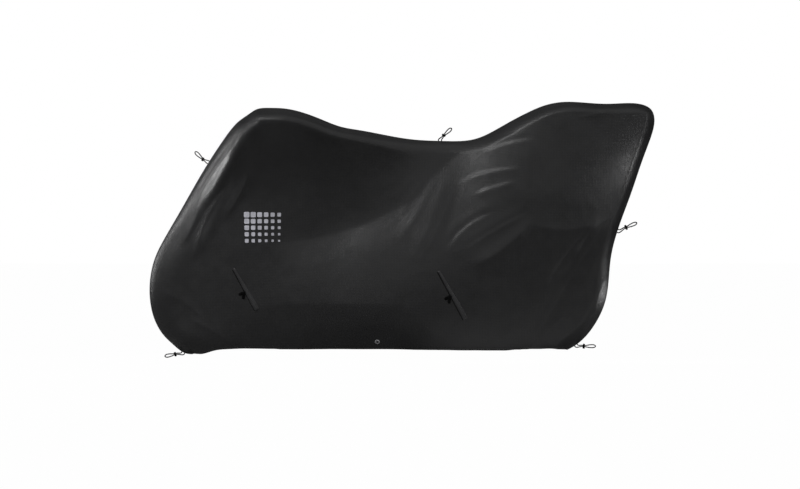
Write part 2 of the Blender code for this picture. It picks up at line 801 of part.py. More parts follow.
def build_strip(panel, cloth, metal):
    """Hem strip in its notch of the near panel, and the eyelet through it."""
    half = STRIP_LENGTH / 2
    strip = add_object(
        "hem_strip", box_mesh("hem_strip", (-half, 0, -STRIP_DROP), (half, CLOTH, STRIP_RISE)), cloth
    )
    low = (-half - GAP, -NOTCH_REACH, -STRIP_DROP - NOTCH_REACH)
    high = (half + GAP, NOTCH_REACH, STRIP_RISE + GAP)
    notch = cut(panel, "strip_notch", box_mesh("strip_notch", low, high), cloth, solver="MANIFOLD")
    plug = disc_mesh("eyelet_hole", EYELET_BARREL + GAP, -NOTCH_REACH, NOTCH_REACH)
    hole = cut(strip, "eyelet_hole", plug, cloth)
    back = CLOTH + GAP
    profile = (
        (EYELET_BORE, -GAP - EYELET_PLATE),
        (EYELET_BORE + EYELET_LIP, -GAP - EYELET_PLATE - EYELET_LIP),
        (EYELET_FLANGE - 2 * EYELET_LIP, -GAP - EYELET_PLATE),
        (EYELET_FLANGE, -GAP),
        (EYELET_BARREL, -GAP),
        (EYELET_BARREL, back),
        (EYELET_FLANGE - EYELET_LIP, back),
        (EYELET_FLANGE - 2 * EYELET_LIP, back + EYELET_PLATE),
        (EYELET_BORE, back + EYELET_PLATE),
    )
    ring = add_object("eyelet", turned_mesh("eyelet", profile), metal)
    for item in (strip, notch, hole, ring):
        item.location = (EYELET_X, -EYELET_HALF_WIDTH, EYELET_Z)
        item.rotation_euler.x = math.atan(STRIP_SLOPE)


def build_port(port, trees, cloth, tape, metal):
    name = port[0]
    tape_widths = (TAPE_WIDTH, TAPE_WIDTH)
    zip_tape = strip_mesh(f"{name}_zip", trees, port, tape_widths, -TAPE_SETBACK, TAPE_THICK)
    add_object(f"{name}_zip", zip_tape, tape)
    flap_widths = (FLAP_TOP_WIDTH, FLAP_WIDTH)
    flap = strip_mesh(f"{name}_flap", trees, port, flap_widths, 0.0, FLAP_THICK)
    add_object(f"{name}_flap", flap, cloth)
    layers = trees + [tree_of(zip_tape), tree_of(flap)]
    outline, middle = slider_outline(port)
    slider = plate_mesh(f"{name}_slider", layers, outline, SLIDER[2])
    add_object(f"{name}_slider", slider, metal)
    layers.append(tree_of(slider))
    pull = plate_mesh(f"{name}_puller", layers, pull_outline(middle), PULL_THICK)
    add_object(f"{name}_puller", pull, tape)


def main():
    clear_scene()
    cloth = material("coated_cloth", CLOTH_BLACK, 0.42)
    strip = material("hem_cloth", STRIP_BLACK, 0.42)
    tape = material("zip_tape", ZIP_BLACK, 0.7)
    metal = material("eyelet_metal", METAL_GREY, 0.35, metallic=1.0)
    slider = material("slider_metal", ZIP_BLACK, 0.4, metallic=1.0)
    cord = material("grey_cord", CORD_GREY, 0.7)
    knot = material("dark_knot", KNOT_GREY, 0.7)
    near = panel_mesh("near_panel", NEAR_STEPS, NEAR_FOLDS, True, -1)
    near_panel = add_object("near_panel", near, cloth)
    far = panel_mesh("far_panel", FAR_STEPS, FAR_FOLDS, False, 1)
    add_object("far_panel", far, cloth)
    trees = [tree_of(near)]
    for port in PORTS:
        build_port(port, trees, strip, tape, slider)
    build_strip(near_panel, strip, metal)
    for row in LOOPS:
        build_loop(row, trees + [tree_of(far)], cord, knot)


main()
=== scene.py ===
"""Looks of a fitted weather cover of thin black coated ripstop cloth.

The cover hangs in its draped shape: two side panels that meet in one seam, a
hem with one eyelet, two zipped ports under sewn flaps, a light grey print and
five looped cords in the seam. Metres, +Z up, +X to the rear, -Y the near side.
"""

import logging
import math
from dataclasses import dataclass, field
from enum import Enum

import bmesh
import bpy
import numpy as np
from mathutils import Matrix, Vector
from mathutils.bvhtree import BVHTree


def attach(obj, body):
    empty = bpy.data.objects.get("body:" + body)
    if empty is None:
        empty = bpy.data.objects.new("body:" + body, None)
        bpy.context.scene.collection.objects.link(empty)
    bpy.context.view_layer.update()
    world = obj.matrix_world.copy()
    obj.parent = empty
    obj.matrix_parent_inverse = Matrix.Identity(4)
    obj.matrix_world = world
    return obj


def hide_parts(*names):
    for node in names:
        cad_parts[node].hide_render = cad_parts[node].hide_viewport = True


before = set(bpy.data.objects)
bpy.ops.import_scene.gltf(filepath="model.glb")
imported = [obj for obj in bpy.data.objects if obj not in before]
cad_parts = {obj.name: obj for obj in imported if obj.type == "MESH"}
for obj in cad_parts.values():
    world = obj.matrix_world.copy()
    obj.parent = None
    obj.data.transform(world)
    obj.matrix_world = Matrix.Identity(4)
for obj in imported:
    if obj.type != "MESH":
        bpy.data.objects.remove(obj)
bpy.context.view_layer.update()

LOG = logging.getLogger("cover")
MM = 0.001
TURN = 2 * math.pi
STITCH_HEIGHT = 0.010  # of the hem's stitches above its edge, in metres
Array = np.ndarray
Mesh = bpy.types.Mesh
Piece = bpy.types.Object
Socket = bpy.types.NodeSocket
Colour = tuple[float, float, float]
Pair = tuple[float, float]
Triple = tuple[float, float, float]
Quad = tuple[float, float, float, float]
Rows = tuple[tuple[float, ...], ...]
Shape = tuple[Array, list[list[int]]]
Seat = tuple[Array, Array, Array, Array]


class Side(Enum):
    """The two sides of the cover, by the sign of their y."""

    NEAR = -1
    FAR = 1


# -- the cover's shape ----------------------------------------------------------

# One rib of the side each: its foot on the hem and its head on the seam, in
# millimetres, from the front end of the hem over the top to its rear end.
#   hem x, hem z, seam x, seam z
RIBS = (
    (-1063, -895, -1063, -895),  # front end of the hem
    (-1058, -892, -1099, -886),
    (-1051, -890, -1143, -852),
    (-1037, -890, -1184, -811),
    (-1016, -890, -1220, -747),
    (-991, -884, -1238, -670),
    (-964, -876, -1239, -588),  # foremost point
    (-932, -871, -1220, -496),
    (-895, -869, -1178, -408),
    (-848, -867, -1105, -282),
    (-802, -867, -1018, -131),
    (-760, -867, -936, -5),
    (-727, -867, -877, 71),
    (-706, -867, -845, 97),
    (-689, -868, -817, 116),  # small step below the front crown
    (-668, -868, -783, 135),
    (-634, -868, -727, 139),  # front crown
    (-596, -868, -668, 136),
    (-546, -868, -596, 120),
    (-487, -868, -517, 91),
    (-416, -868, -437, 61),
    (-332, -868, -349, 45),
    (-223, -868, -227, 22),
    (-139, -870, -124, 7),
    (-55, -871, -21, 2),  # dip
    (13, -872, 71, 2),
    (59, -873, 132, 12),
    (97, -873, 193, 38),
    (134, -873, 275, 84),
    (172, -873, 359, 127),
    (197, -873, 422, 152),
    (223, -873, 496, 165),  # front edge of the high rear
    (252, -873, 584, 162),
    (277, -871, 676, 157),
    (296, -870, 760, 160),
    (311, -870, 821, 155),
    (323, -869, 862, 133),
    (336, -869, 877, 88),  # rear top corner
    (351, -868, 864, 21),
    (372, -868, 827, -80),
    (399, -868, 780, -219),
    (428, -867, 734, -345),
    (454, -868, 699, -471),
    (470, -870, 688, -572),
    (485, -871, 675, -664),
    (498, -872, 641, -748),
    (507, -873, 587, -823),
    (512, -875, 542, -860),
    (514, -875, 514, -875),  # rear end of the hem
)
HEM_X, HEM_Z, SEAM_X, SEAM_Z = range(4)

# Half widths in millimetres down single ribs: the edge is rounded over `roof`,
# and the side below it runs through shoulder, waist, bulge and hem.
#   rib, roof, shoulder, waist_at (share of the rib), waist, bulge, hem
GIRTHS = (
    (0, 30, 22, 0.50, 24, 24, 24),
    (2, 55, 42, 0.50, 46, 48, 48),
    (4, 75, 56, 0.50, 62, 66, 64),
    (6, 90, 72, 0.50, 82, 84, 76),
    (8, 118, 105, 0.50, 106, 104, 88),
    (9, 130, 140, 0.50, 122, 115, 94),
    (10, 122, 195, 0.50, 142, 128, 100),
    (11, 106, 245, 0.50, 157, 142, 106),
    (13, 95, 275, 0.52, 166, 154, 110),
    (15, 85, 290, 0.53, 169, 164, 114),
    (17, 78, 295, 0.54, 167, 174, 118),
    (19, 68, 260, 0.52, 160, 184, 122),
    (20, 62, 220, 0.48, 152, 190, 125),
    (21, 60, 180, 0.42, 147, 194, 128),
    (22, 58, 135, 0.33, 140, 194, 130),
    (23, 56, 106, 0.27, 134, 192, 130),
    (24, 55, 94, 0.25, 137, 190, 130),
    (25, 55, 98, 0.26, 147, 186, 130),
    (27, 57, 128, 0.30, 172, 182, 128),
    (29, 55, 166, 0.35, 187, 172, 122),
    (31, 52, 188, 0.40, 190, 160, 116),
    (33, 50, 198, 0.42, 186, 148, 108),
    (35, 52, 200, 0.45, 176, 136, 100),
    (37, 55, 194, 0.45, 164, 126, 94),
    (39, 50, 176, 0.45, 148, 114, 88),
    (41, 54, 136, 0.45, 126, 106, 82),
    (43, 66, 96, 0.45, 104, 96, 76),
    (45, 72, 66, 0.50, 76, 74, 60),
    (47, 34, 26, 0.50, 28, 28, 28),
    (48, 30, 22, 0.50, 24, 24, 24),
)
ROOF, SHOULDER, WAIST_AT, WAIST, BULGE, HEM = range(1, 7)

# Main folds of the near side, in millimetres: ridges, or troughs where the
# height is negative, along bowed lines.
#   x0, z0, x1, z1, bow, width, height
NEAR_FOLDS = (
    (-886, 30, -1045, -220, -10, 17, 3.5),  # pulls of the front, and troughs between
    (-880, -20, -1000, -250, -8, 18, -4),
    (-858, -40, -1035, -290, 8, 20, 4.5),
    (-880, -130, -1060, -430, 6, 22, -4),
    (-925, -235, -1045, -480, 10, 22, 4),
    (-815, -150, -930, -330, 4, 20, 3),
    (-85, -165, -285, -345, -12, 26, 1),  # fan below the dip
    (-40, -155, -190, -420, -14, 24, 1),
    (5, -150, -140, -490, -16, 24, 1),
    (68, -95, -115, -520, -20, 26, 1),
    (165, -30, 360, 25, 6, 22, 1),  # drags up to the high rear
    (70, -155, 300, -105, 8, 26, 1.5),
    (115, -228, 285, -168, 6, 24, 1.5),
    (15, -385, 200, -270, 14, 24, 2),
    (85, -425, 335, -285, 8, 26, 3),
    (125, -520, 345, -350, -14, 34, 6),  # brow
    (815, -30, 690, -325, -10, 20, 1),  # rear edge and the drop below it
    (600, -375, 435, -580, 8, 24, -4),
    (630, -350, 540, -490, 6, 22, 3.5),
    (395, -790, 440, -868, 4, 22, 2.5),  # ripples of the hem
    (490, -740, 455, -868, -4, 24, -2.5),
)
FAR_FOLDS = (
    (-870, -20, -1040, -280, 6, 24, 8),
    (-40, -155, -200, -430, -14, 30, 7),
    (60, -100, -110, -510, -18, 30, 8),
    (75, -160, 300, -100, 8, 32, 9),
    (60, -400, 320, -280, 10, 32, 10),
    (610, -370, 450, -570, 8, 30, 7),
)


def smooth(value: Array | float) -> Array:
    """Smooth step from 0 to 1 over that range of value."""
    value = np.clip(value, 0.0, 1.0)
    return value * value * (3 - 2 * value)


def spline(knots: Array, values: Array, places: Array) -> Array:
    """Natural cubic spline.

    Args:
        knots: rising places of the known values.
        values: the value at each knot.
        places: where the curve is read.

    Returns:
        The curve's values at the places.
    """
    count = len(knots)
    step = np.diff(knots)
    slope = np.diff(values) / step
    system = np.eye(count)
    load = np.zeros(count)
    for i in range(1, count - 1):
        system[i, i - 1 : i + 2] = step[i - 1], 2 * (step[i - 1] + step[i]), step[i]
        load[i] = 6 * (slope[i] - slope[i - 1])
    bend = np.linalg.solve(system, load)
    k = np.clip(np.searchsorted(knots, places) - 1, 0, count - 2)
    a = (knots[k + 1] - places) / step[k]
    b = 1 - a
    curve = (a**3 - a) * bend[k] + (b**3 - b) * bend[k + 1]
    return a * values[k] + b * values[k + 1] + curve * step[k] ** 2 / 6


def run_along(path: Array) -> Array:
    """Distance run along a path at each of its points."""
    steps = np.linalg.norm(np.diff(path, axis=0), axis=-1)
    return np.concatenate([[0.0], np.cumsum(steps)])


def read_rows(table: Array, knots: Array, places: Array | float) -> Array:
    """Rows of a table, known at rising knots, read at places between them."""
    return np.stack([np.interp(places, knots, column) for column in table.T], axis=-1)


def unit(vector: Array) -> Array:
    """The vector, or each row of vectors, at length 1."""
    return vector / np.linalg.norm(vector, axis=-1, keepdims=True)


def square_to(vector: Array) -> Array:
    """The side-view vector turned a quarter to the left."""
    return np.array([-vector[1], vector[0]])


def along_line(line: list[float], x: Array, z: Array) -> tuple[Array, Array]:
    """Places of side-view points beside a bowed line.

    Args:
        line: x and z of its start, x and z of its end, and how far its middle
            bows to the left, in millimetres.
        x: the points' x, in metres.
        z: the points' z, in metres.

    Returns:
        The share of the line's length, and the distance to its left in metres.
    """
    first, last = np.array(line[:2]) * MM, np.array(line[2:4]) * MM
    length = np.hypot(*(last - first))
    ahead = (last - first) / length
    share = ((x - first[0]) * ahead[0] + (z - first[1]) * ahead[1]) / length
    left = (z - first[1]) * ahead[0] - (x - first[0]) * ahead[1]
    return share, left - 4 * line[4] * MM * share * (1 - share)


def line_ends(share: Array, overrun: float, taper: float) -> Array:
    """1 along a line, falling to 0 a little past each end."""
    return smooth((share + overrun) / taper) * smooth((1 + overrun - share) / taper)


@dataclass(frozen=True)
class EyeletSeat:
    """Leaning flat of the hem that the eyelet goes through, in metres."""

    x: float = -0.283
    z: float = -0.837
    half_width: float = 0.1455
    slope: float = 0.5
    length: float = 0.100
    rise: float = 0.028
    blend: float = 0.070
    hole: float = 0.0075

    def flatness(self, x: Array, z: Array) -> Array:
        """1 on the flat, falling to 0 a short way outside it."""
        beside = np.maximum(np.abs(x - self.x) - self.length / 2, 0)
        above = np.maximum(z - self.z - self.rise, 0)
        return 1 - smooth(np.hypot(beside, above) / self.blend)

    def plane(self, z: Array) -> Array:
        """Half width of the flat at a height."""
        return self.half_width + self.slope * (z - self.z)


@dataclass(frozen=True)
class Crumple:
    """Small irregular waves of hanging cloth, from seeded plane waves."""

    seed: int
    waves: int
    shortest: float
    longest: float
    height: float
    ridged: bool = False
    blunt: float = 0.02

    def at(self, u: Array, v: Array) -> Array:
        """Height of the waves.

        Args:
            u: run along the cloth, in metres.
            v: run up the cloth, in metres.

        Returns:
            The height in metres at each place.
        """
        dice = np.random.default_rng(self.seed)
        total = np.zeros_like(u)
        for _ in range(self.waves):
            turn = dice.uniform(0, math.pi)
            length = math.exp(dice.uniform(math.log(self.shortest), math.log(self.longest)))
            phase = dice.uniform(0, TURN)
            across = (u * math.cos(turn) + v * math.sin(turn)) / length
            total += np.sin(TURN * across + phase)
        total /= math.sqrt(self.waves / 2)
        if self.ridged:
            total = 1 - 2 * np.sqrt(total**2 + self.blunt)
        return total * self.height


class CoverForm:
    """Half width of the hanging cover over its side view."""

    SHOULDER_AT = 0.08
    BULGE_AT = 0.8
    FOLD_FADE = 40 * MM
    FOLD_OVERRUN = 0.15
    FOLD_TAPER = 0.4
    SEAM_SAMPLES = 600
    NUDGE = 0.02  # half the stretch of ribs over which the seam's heading is read
    CHUNK = 4000

    def __init__(self, seat: EyeletSeat) -> None:
        """Prepares the tables.

        Args:
            seat: the flat of the hem that carries the eyelet.
        """
        self.seat = seat
        self.ribs = np.array(RIBS) * MM
        chords = np.hypot(*np.diff(self.ribs[:, SEAM_X:], axis=0).T)
        self.knots = np.concatenate([[0.0], np.cumsum(np.sqrt(chords))])
        self.girths = np.array(GIRTHS, dtype=float)
        self.last = len(RIBS) - 1
        self.seam_ribs = np.linspace(0, self.last, self.SEAM_SAMPLES)
        seam = [self.on_ribs(self.seam_ribs, column) for column in (SEAM_X, SEAM_Z)]
        self.seam = np.stack(seam, axis=-1)

    def on_ribs(self, rib: Array, column: int) -> Array:
        """A column of the ribs' table between its rows."""
        knots = np.interp(rib, np.arange(self.last + 1), self.knots)
        return spline(self.knots, self.ribs[:, column], knots)

    def on_girths(self, rib: Array, column: int) -> Array:
        """A column of the girths' table between its rows."""
        return spline(self.girths[:, 0], self.girths[:, column], rib)

    def seam_distance(self, x: Array, z: Array) -> Array:
        """Distance in the side view from each point to the seam.

        Args:
            x: the points' x, in metres.
            z: the points' z, in metres.

        Returns:
            The distances in metres.
        """
        run_x, run_z = np.diff(self.seam, axis=0).T
        square = run_x**2 + run_z**2
        flat_x, flat_z = x.ravel(), z.ravel()
        away = np.empty_like(flat_x)
        for start in range(0, len(flat_x), self.CHUNK):
            part = slice(start, start + self.CHUNK)
            from_x = flat_x[part, None] - self.seam[None, :-1, 0]
            from_z = flat_z[part, None] - self.seam[None, :-1, 1]
            share = np.clip((from_x * run_x + from_z * run_z) / square, 0, 1)
            away[part] = np.hypot(from_x - share * run_x, from_z - share * run_z).min(axis=1)
        return away.reshape(x.shape)

    def seam_inward(self, rib: Array) -> tuple[Array, Array]:
        """Unit vector from the seam to the inside.

        Args:
            rib: rib number at each point of the seam.

        Returns:
            The vectors' x and z in the side view.
        """
        dx, dz = (
            self.on_ribs(rib + self.NUDGE, column) - self.on_ribs(rib - self.NUDGE, column)
            for column in (SEAM_X, SEAM_Z)
        )
        size = np.hypot(dx, dz)
        return dz / size, -dx / size

    def seam_place(self, spot: Array) -> tuple[Array, Array]:
        """Nearest point of the seam.

        Args:
            spot: x and z of a point of the side view.

        Returns:
            The seam's point and its outward normal, each x and z.
        """
        run = np.diff(self.seam, axis=0)
        share = ((spot - self.seam[:-1]) * run).sum(axis=1) / (run**2).sum(axis=1)
        share = np.clip(share, 0, 1)
        places = self.seam[:-1] + share[:, None] * run
        k = int(np.argmin(np.hypot(*(places - spot).T)))
        rib = self.seam_ribs[k] + share[k] * (self.seam_ribs[1] - self.seam_ribs[0])
        return places[k], -np.array(self.seam_inward(rib))

    def rib_points(self, rib: Array, along: Array) -> tuple[Array, Array]:
        """Side-view x and z on straight ribs; along is 0 at the seam, 1 at the hem."""
        x = self.on_ribs(rib, SEAM_X) * (1 - along) + self.on_ribs(rib, HEM_X) * along
        z = self.on_ribs(rib, SEAM_Z) * (1 - along) + self.on_ribs(rib, HEM_Z) * along
        return x, z

    def side_width(self, rib: Array, along: Array) -> Array:
        """Half width of the side below its rounded edge.

        Args:
            rib: rib number at each point.
            along: place on the rib, 0 at the seam and 1 at the hem.

        Returns:
            The half width in metres, on one cubic through the girths' four widths.
        """
        nodes = (self.SHOULDER_AT, self.on_girths(rib, WAIST_AT), self.BULGE_AT, 1.0)
        widths = [self.on_girths(rib, column) * MM for column in (SHOULDER, WAIST, BULGE, HEM)]
        total = 0.0
        for i, width in enumerate(widths):
            share = 1.0
            for j, node in enumerate(nodes):
                if j != i:
                    share = share * (along - node) / (nodes[i] - node)
            total = total + width * share
        return total

    def fold_height(self, folds: Rows, x: Array, z: Array) -> Array:
        """Summed height of the main folds.

        Args:
            folds: the folds' table.
            x: the points' x, in metres.
            z: the points' z, in metres.

        Returns:
            The height in metres at each point.
        """
        total = np.zeros_like(x)
        for *line, width, height in folds:
            share, off = along_line(line, x, z)
            ends = line_ends(share, self.FOLD_OVERRUN, self.FOLD_TAPER)
            total += height * MM * ends * np.exp(-((off / (width * MM)) ** 2))
        return total

    def half_width(
        self, rib: Array, along: Array, folds: Rows, near: bool
    ) -> tuple[Array, Array, Array, Array]:
        """Outer half width of the cover with its main folds.

        Args:
            rib: rib number at each point.
            along: place on the rib, 0 at the seam and 1 at the hem.
            folds: the side's main folds.
            near: whether the side has the eyelet's flat.

        Returns:
            x, z, half width and distance from the seam, in metres.
        """
        x, z = self.rib_points(rib, along)
        away = self.seam_distance(x, z)
        roof = self.on_girths(rib, ROOF) * MM
        rise = np.sqrt(np.clip(1 - (1 - np.minimum(away / roof, 1)) ** 2, 0, 1))
        width = self.side_width(rib, along) * rise
        width = width + self.fold_height(folds, x, z) * smooth(away / self.FOLD_FADE)
        if near:
            flat = self.seat.flatness(x, z)
            width = width * (1 - flat) + self.seat.plane(z) * flat
        return x, z, width, away


# -- materials ------------------------------------------------------------------


class NodeTree:
    """Short ways to add and join the nodes of a tree."""

    def __init__(self, tree: bpy.types.NodeTree) -> None:
        """Takes a material's or a world's tree."""
        self.tree = tree

    def add(self, kind: str, **settings: object) -> bpy.types.Node:
        """Adds a node of that kind with its settings."""
        node = self.tree.nodes.new(kind)
        for name, value in settings.items():
            setattr(node, name, value)
        return node

    def join(self, source: Socket, target: Socket) -> None:
        """Links an output to an input."""
        self.tree.links.new(source, target)

    def put(self, target: Socket, value: object) -> None:
        """Links a socket, or sets a number or colour, on an input."""
        if isinstance(value, Socket):
            self.join(value, target)
        else:
            target.default_value = value

    def maths(self, operation: str, *values: object) -> Socket:
        """Result of a Math node on sockets or numbers."""
        node = self.add("ShaderNodeMath", operation=operation)
        for target, value in zip(node.inputs, values):
            self.put(target, value)
        return node.outputs[0]

    def fade(self, value: object, low: float, high: float, start: float, end: float) -> Socket:
        """Smooth change from start to end as value goes from low to high.

        Args:
            value: what the change follows.
            low: its value at the start of the change.
            high: its value at the end.
            start: the result up to low.
            end: the result from high on.

        Returns:
            The result.
        """
        node = self.add("ShaderNodeMapRange", interpolation_type="SMOOTHSTEP")
        limits = {"From Min": low, "From Max": high, "To Min": start, "To Max": end}
        for name, number in limits.items():
            node.inputs[name].default_value = number
        self.put(node.inputs["Value"], value)
        return node.outputs[0]

    def run(self, uv_map: str) -> tuple[Socket, Socket, Socket]:
        """A UV map in metres: its vector, u and v."""
        place = self.add("ShaderNodeUVMap", uv_map=uv_map)
        parts = self.add("ShaderNodeSeparateXYZ")
        self.join(place.outputs["UV"], parts.inputs[0])
        return place.outputs["UV"], parts.outputs[0], parts.outputs[1]

    def noise(self, vector: object, scale: float, detail: float = 2.0) -> Socket:
        """Noise over a vector, about the middle of 0 to 1.

        Args:
            vector: where it is read.
            scale: its waves in a metre.
            detail: how many finer layers it has.

        Returns:
            The noise.
        """
        node = self.add("ShaderNodeTexNoise")
        node.inputs["Scale"].default_value = scale
        node.inputs["Detail"].default_value = detail
        self.put(node.inputs["Vector"], vector)
        return node.outputs[0]

    def object_place(self) -> Socket:
        """The surface's own coordinates in metres."""
        return self.add("ShaderNodeTexCoord").outputs["Object"]

    def bump(self, height: object, depth: float, under: object = None) -> Socket:
        """Adds relief over earlier relief.

        Args:
            height: the relief, from 0 to 1.
            depth: its depth in metres.
            under: the earlier relief.

        Returns:
            The normal with both.
        """
        node = self.add("ShaderNodeBump")
        node.inputs["Distance"].default_value = depth
        self.put(node.inputs["Height"], height)
        if under is not None:
            self.put(node.inputs["Normal"], under)
        return node.outputs[0]

    def tint(self, share: object, low: Colour | Socket, high: Colour | Socket) -> Socket:
        """Colour between low and high.

        Args:
            share: 0 for low and 1 for high.
            low: the first colour, or a socket.
            high: the second colour, or a socket.

        Returns:
            The mixed colour.
        """
        node = self.add("ShaderNodeMix", data_type="RGBA")
        self.put(node.inputs[0], share)
        for target, colour in ((node.inputs[6], low), (node.inputs[7], high)):
            self.put(target, colour if isinstance(colour, Socket) else (*colour, 1.0))
        return node.outputs[2]


class NodePad(NodeTree):
    """A material being made."""

    def __init__(self, name: str, colour: Colour, roughness: float, specular: float = 0.5) -> None:
        """Starts the material.

        Args:
            name: the material's name.
            colour: its base colour, linear.
            roughness: its base roughness.
            specular: the shader's specular level.
        """
        self.material = bpy.data.materials.new(name)
        self.material.use_nodes = True
        super().__init__(self.material.node_tree)
        self.shader = self.tree.nodes["Principled BSDF"]
        self.shader.inputs["Base Color"].default_value = (*colour, 1.0)
        self.shader.inputs["Roughness"].default_value = roughness
        self.shader.inputs["Specular IOR Level"].default_value = specular

    def finish(
        self, colour: object = None, roughness: object = None, normal: object = None
    ) -> bpy.types.Material:
        """Joins what varies to the shader.

        Args:
            colour: the base colour, if it varies.
            roughness: the roughness, if it varies.
            normal: the relief.

        Returns:
            The material.
        """
        for name, value in (("Base Color", colour), ("Roughness", roughness), ("Normal", normal)):
            if value is not None:
                self.join(value, self.shader.inputs[name])
        return self.material


@dataclass(frozen=True)
class Pucker:
    """Puckers of the cloth beside a row of stitches; sizes in metres."""

    pitch: float
    reach: float
    depth: float
    wander: float
    swing: float

    def relief(
        self, pad: NodePad, run: tuple[Socket, Socket], away: Socket, under: Socket
    ) -> Socket:
        """Adds the puckers to earlier relief.

        Args:
            pad: the material being made.
            run: the row's map, and the place along the row.
            away: distance from the row.
            under: the earlier relief.

        Returns:
            The relief with the puckers.
        """
        shift = pad.maths("MULTIPLY", pad.noise(run[0], self.wander, 1.0), self.swing)
        turns = pad.maths("MULTIPLY_ADD", run[1], TURN / self.pitch, shift)
        close = pad.fade(away, 0.0, self.reach, 1.0, 0.0)
        waves = pad.maths("MULTIPLY", pad.maths("SINE", turns), close)
        return pad.bump(waves, self.depth, under)


@dataclass(frozen=True)
class RipstopFinish:
    """Thin black ripstop with a semi-gloss coating; sizes in metres.

    Wear and sheen are noises: scale and detail. A crinkle has its depth as well.
    """

    name: str = "ripstop_cloth"
    ground: Colour = (0.0075, 0.0075, 0.0080)
    worn: Colour = (0.0105, 0.0105, 0.0110)
    line_colour: Colour = (0.0210, 0.0210, 0.0220)
    gloss: float = 0.33
    matt: float = 0.43
    specular: float = 0.42
    pitch: float = 0.0065
    line: float = 0.0008
    line_share: float = 0.5
    line_depth: float = 0.00016
    weave: float = 0.0009
    weave_depth: float = 0.00002
    wear: Pair = (9.0, 4.0)
    wear_range: Pair = (0.35, 0.75)
    sheen: Pair = (23.0, 3.0)
    sheen_range: Pair = (0.3, 0.7)
    crinkles: Rows = ((170.0, 1.0, 0.00012), (42.0, 2.0, 0.0004))
    edges: bool = True
    lip: Pair = (0.001, 0.005)
    lip_depth: float = 0.0004
    groove: float = 0.0022
    groove_depth: float = 0.0006
    seam_pucker: Pucker = Pucker(0.014, 0.022, 0.0004, 30.0, 9.0)
    hem_pucker: Pucker = Pucker(0.012, 0.014, 0.0005, 24.0, 8.0)

    def build(self) -> bpy.types.Material:
        """Makes the material for a panel with cloth, seam and hem maps.

        Returns:
            The material.
        """
        pad = NodePad(self.name, self.ground, self.gloss, self.specular)
        _, u, v = pad.run("cloth")
        place = pad.object_place()
        worn = pad.fade(pad.noise(place, *self.wear), *self.wear_range, 0.0, 1.0)
        cloth = pad.tint(worn, self.ground, self.worn)
        grid = pad.maths("MAXIMUM", self.grid_line(pad, u), self.grid_line(pad, v))
        colour = pad.tint(pad.maths("MULTIPLY", grid, self.line_share), cloth, self.line_colour)
        sheen = pad.noise(place, *self.sheen)
        roughness = pad.fade(sheen, *self.sheen_range, self.gloss, self.matt)
        weave = pad.maths("MULTIPLY", self.thread(pad, u), self.thread(pad, v))
        relief = pad.bump(weave, self.weave_depth)
        relief = pad.bump(grid, self.line_depth, relief)
        for scale, detail, depth in self.crinkles:
            relief = pad.bump(pad.noise(place, scale, detail), depth, relief)
        if self.edges:
            relief = self.edge_relief(pad, relief)
        return pad.finish(colour, roughness, relief)

    def grid_line(self, pad: NodePad, run: Socket) -> Socket:
        """1 on the reinforcing threads that cross a run, 0 between them."""
        place = pad.maths("PINGPONG", pad.maths("DIVIDE", run, self.pitch), 0.5)
        return pad.fade(place, 0.0, self.line / self.pitch, 1.0, 0.0)

    def thread(self, pad: NodePad, run: Socket) -> Socket:
        """Wave of the single threads along a run."""
        return pad.maths("SINE", pad.maths("MULTIPLY", run, TURN / self.weave))

    def edge_relief(self, pad: NodePad, under: Socket) -> Socket:
        """Puckers along the seam, and the hem's stitched step.

        Args:
            pad: the material being made.
            under: the cloth's relief.

        Returns:
            The relief with both edges.
        """
        seam, along, away = pad.run("seam")
        relief = self.seam_pucker.relief(pad, (seam, along), away, under)
        relief = pad.bump(pad.fade(away, *self.lip, 0.0, 1.0), self.lip_depth, relief)
        hem, along, height = pad.run("hem")
        stray = pad.maths("ABSOLUTE", pad.maths("SUBTRACT", height, STITCH_HEIGHT))
        groove = pad.fade(stray, 0.0, self.groove, 0.0, 1.0)
        relief = pad.bump(groove, self.groove_depth, relief)
        return self.hem_pucker.relief(pad, (hem, along), stray, relief)


@dataclass(frozen=True)
class TrimFinish:
    """Small piece of woven, moulded or metal trim."""

    name: str
    colour: Colour
    shade: Colour
    roughness: float
    grain: float
    depth: float
    metal: float = 0.0
    specular: float = 0.4
    detail: float = 3.0
    patch_share: float = 1 / 8
    patch_range: Pair = (0.35, 0.7)
    grain_range: Pair = (0.3, 0.7)
    rougher: float = 0.12

    def build(self) -> bpy.types.Material:
        """Makes the material with a fine grain over the piece's own coordinates.

        Returns:
            The material.
        """
        pad = NodePad(self.name, self.colour, self.roughness, self.specular)
        pad.shader.inputs["Metallic"].default_value = self.metal
        place = pad.object_place()
        grain = pad.noise(place, self.grain, self.detail)
        patch = pad.noise(place, self.grain * self.patch_share)
        colour = pad.tint(pad.fade(patch, *self.patch_range, 0.0, 1.0), self.colour, self.shade)
        rough = min(1.0, self.roughness + self.rougher)
        roughness = pad.fade(grain, *self.grain_range, self.roughness, rough)
        return pad.finish(colour, roughness, pad.bump(grain, self.depth))


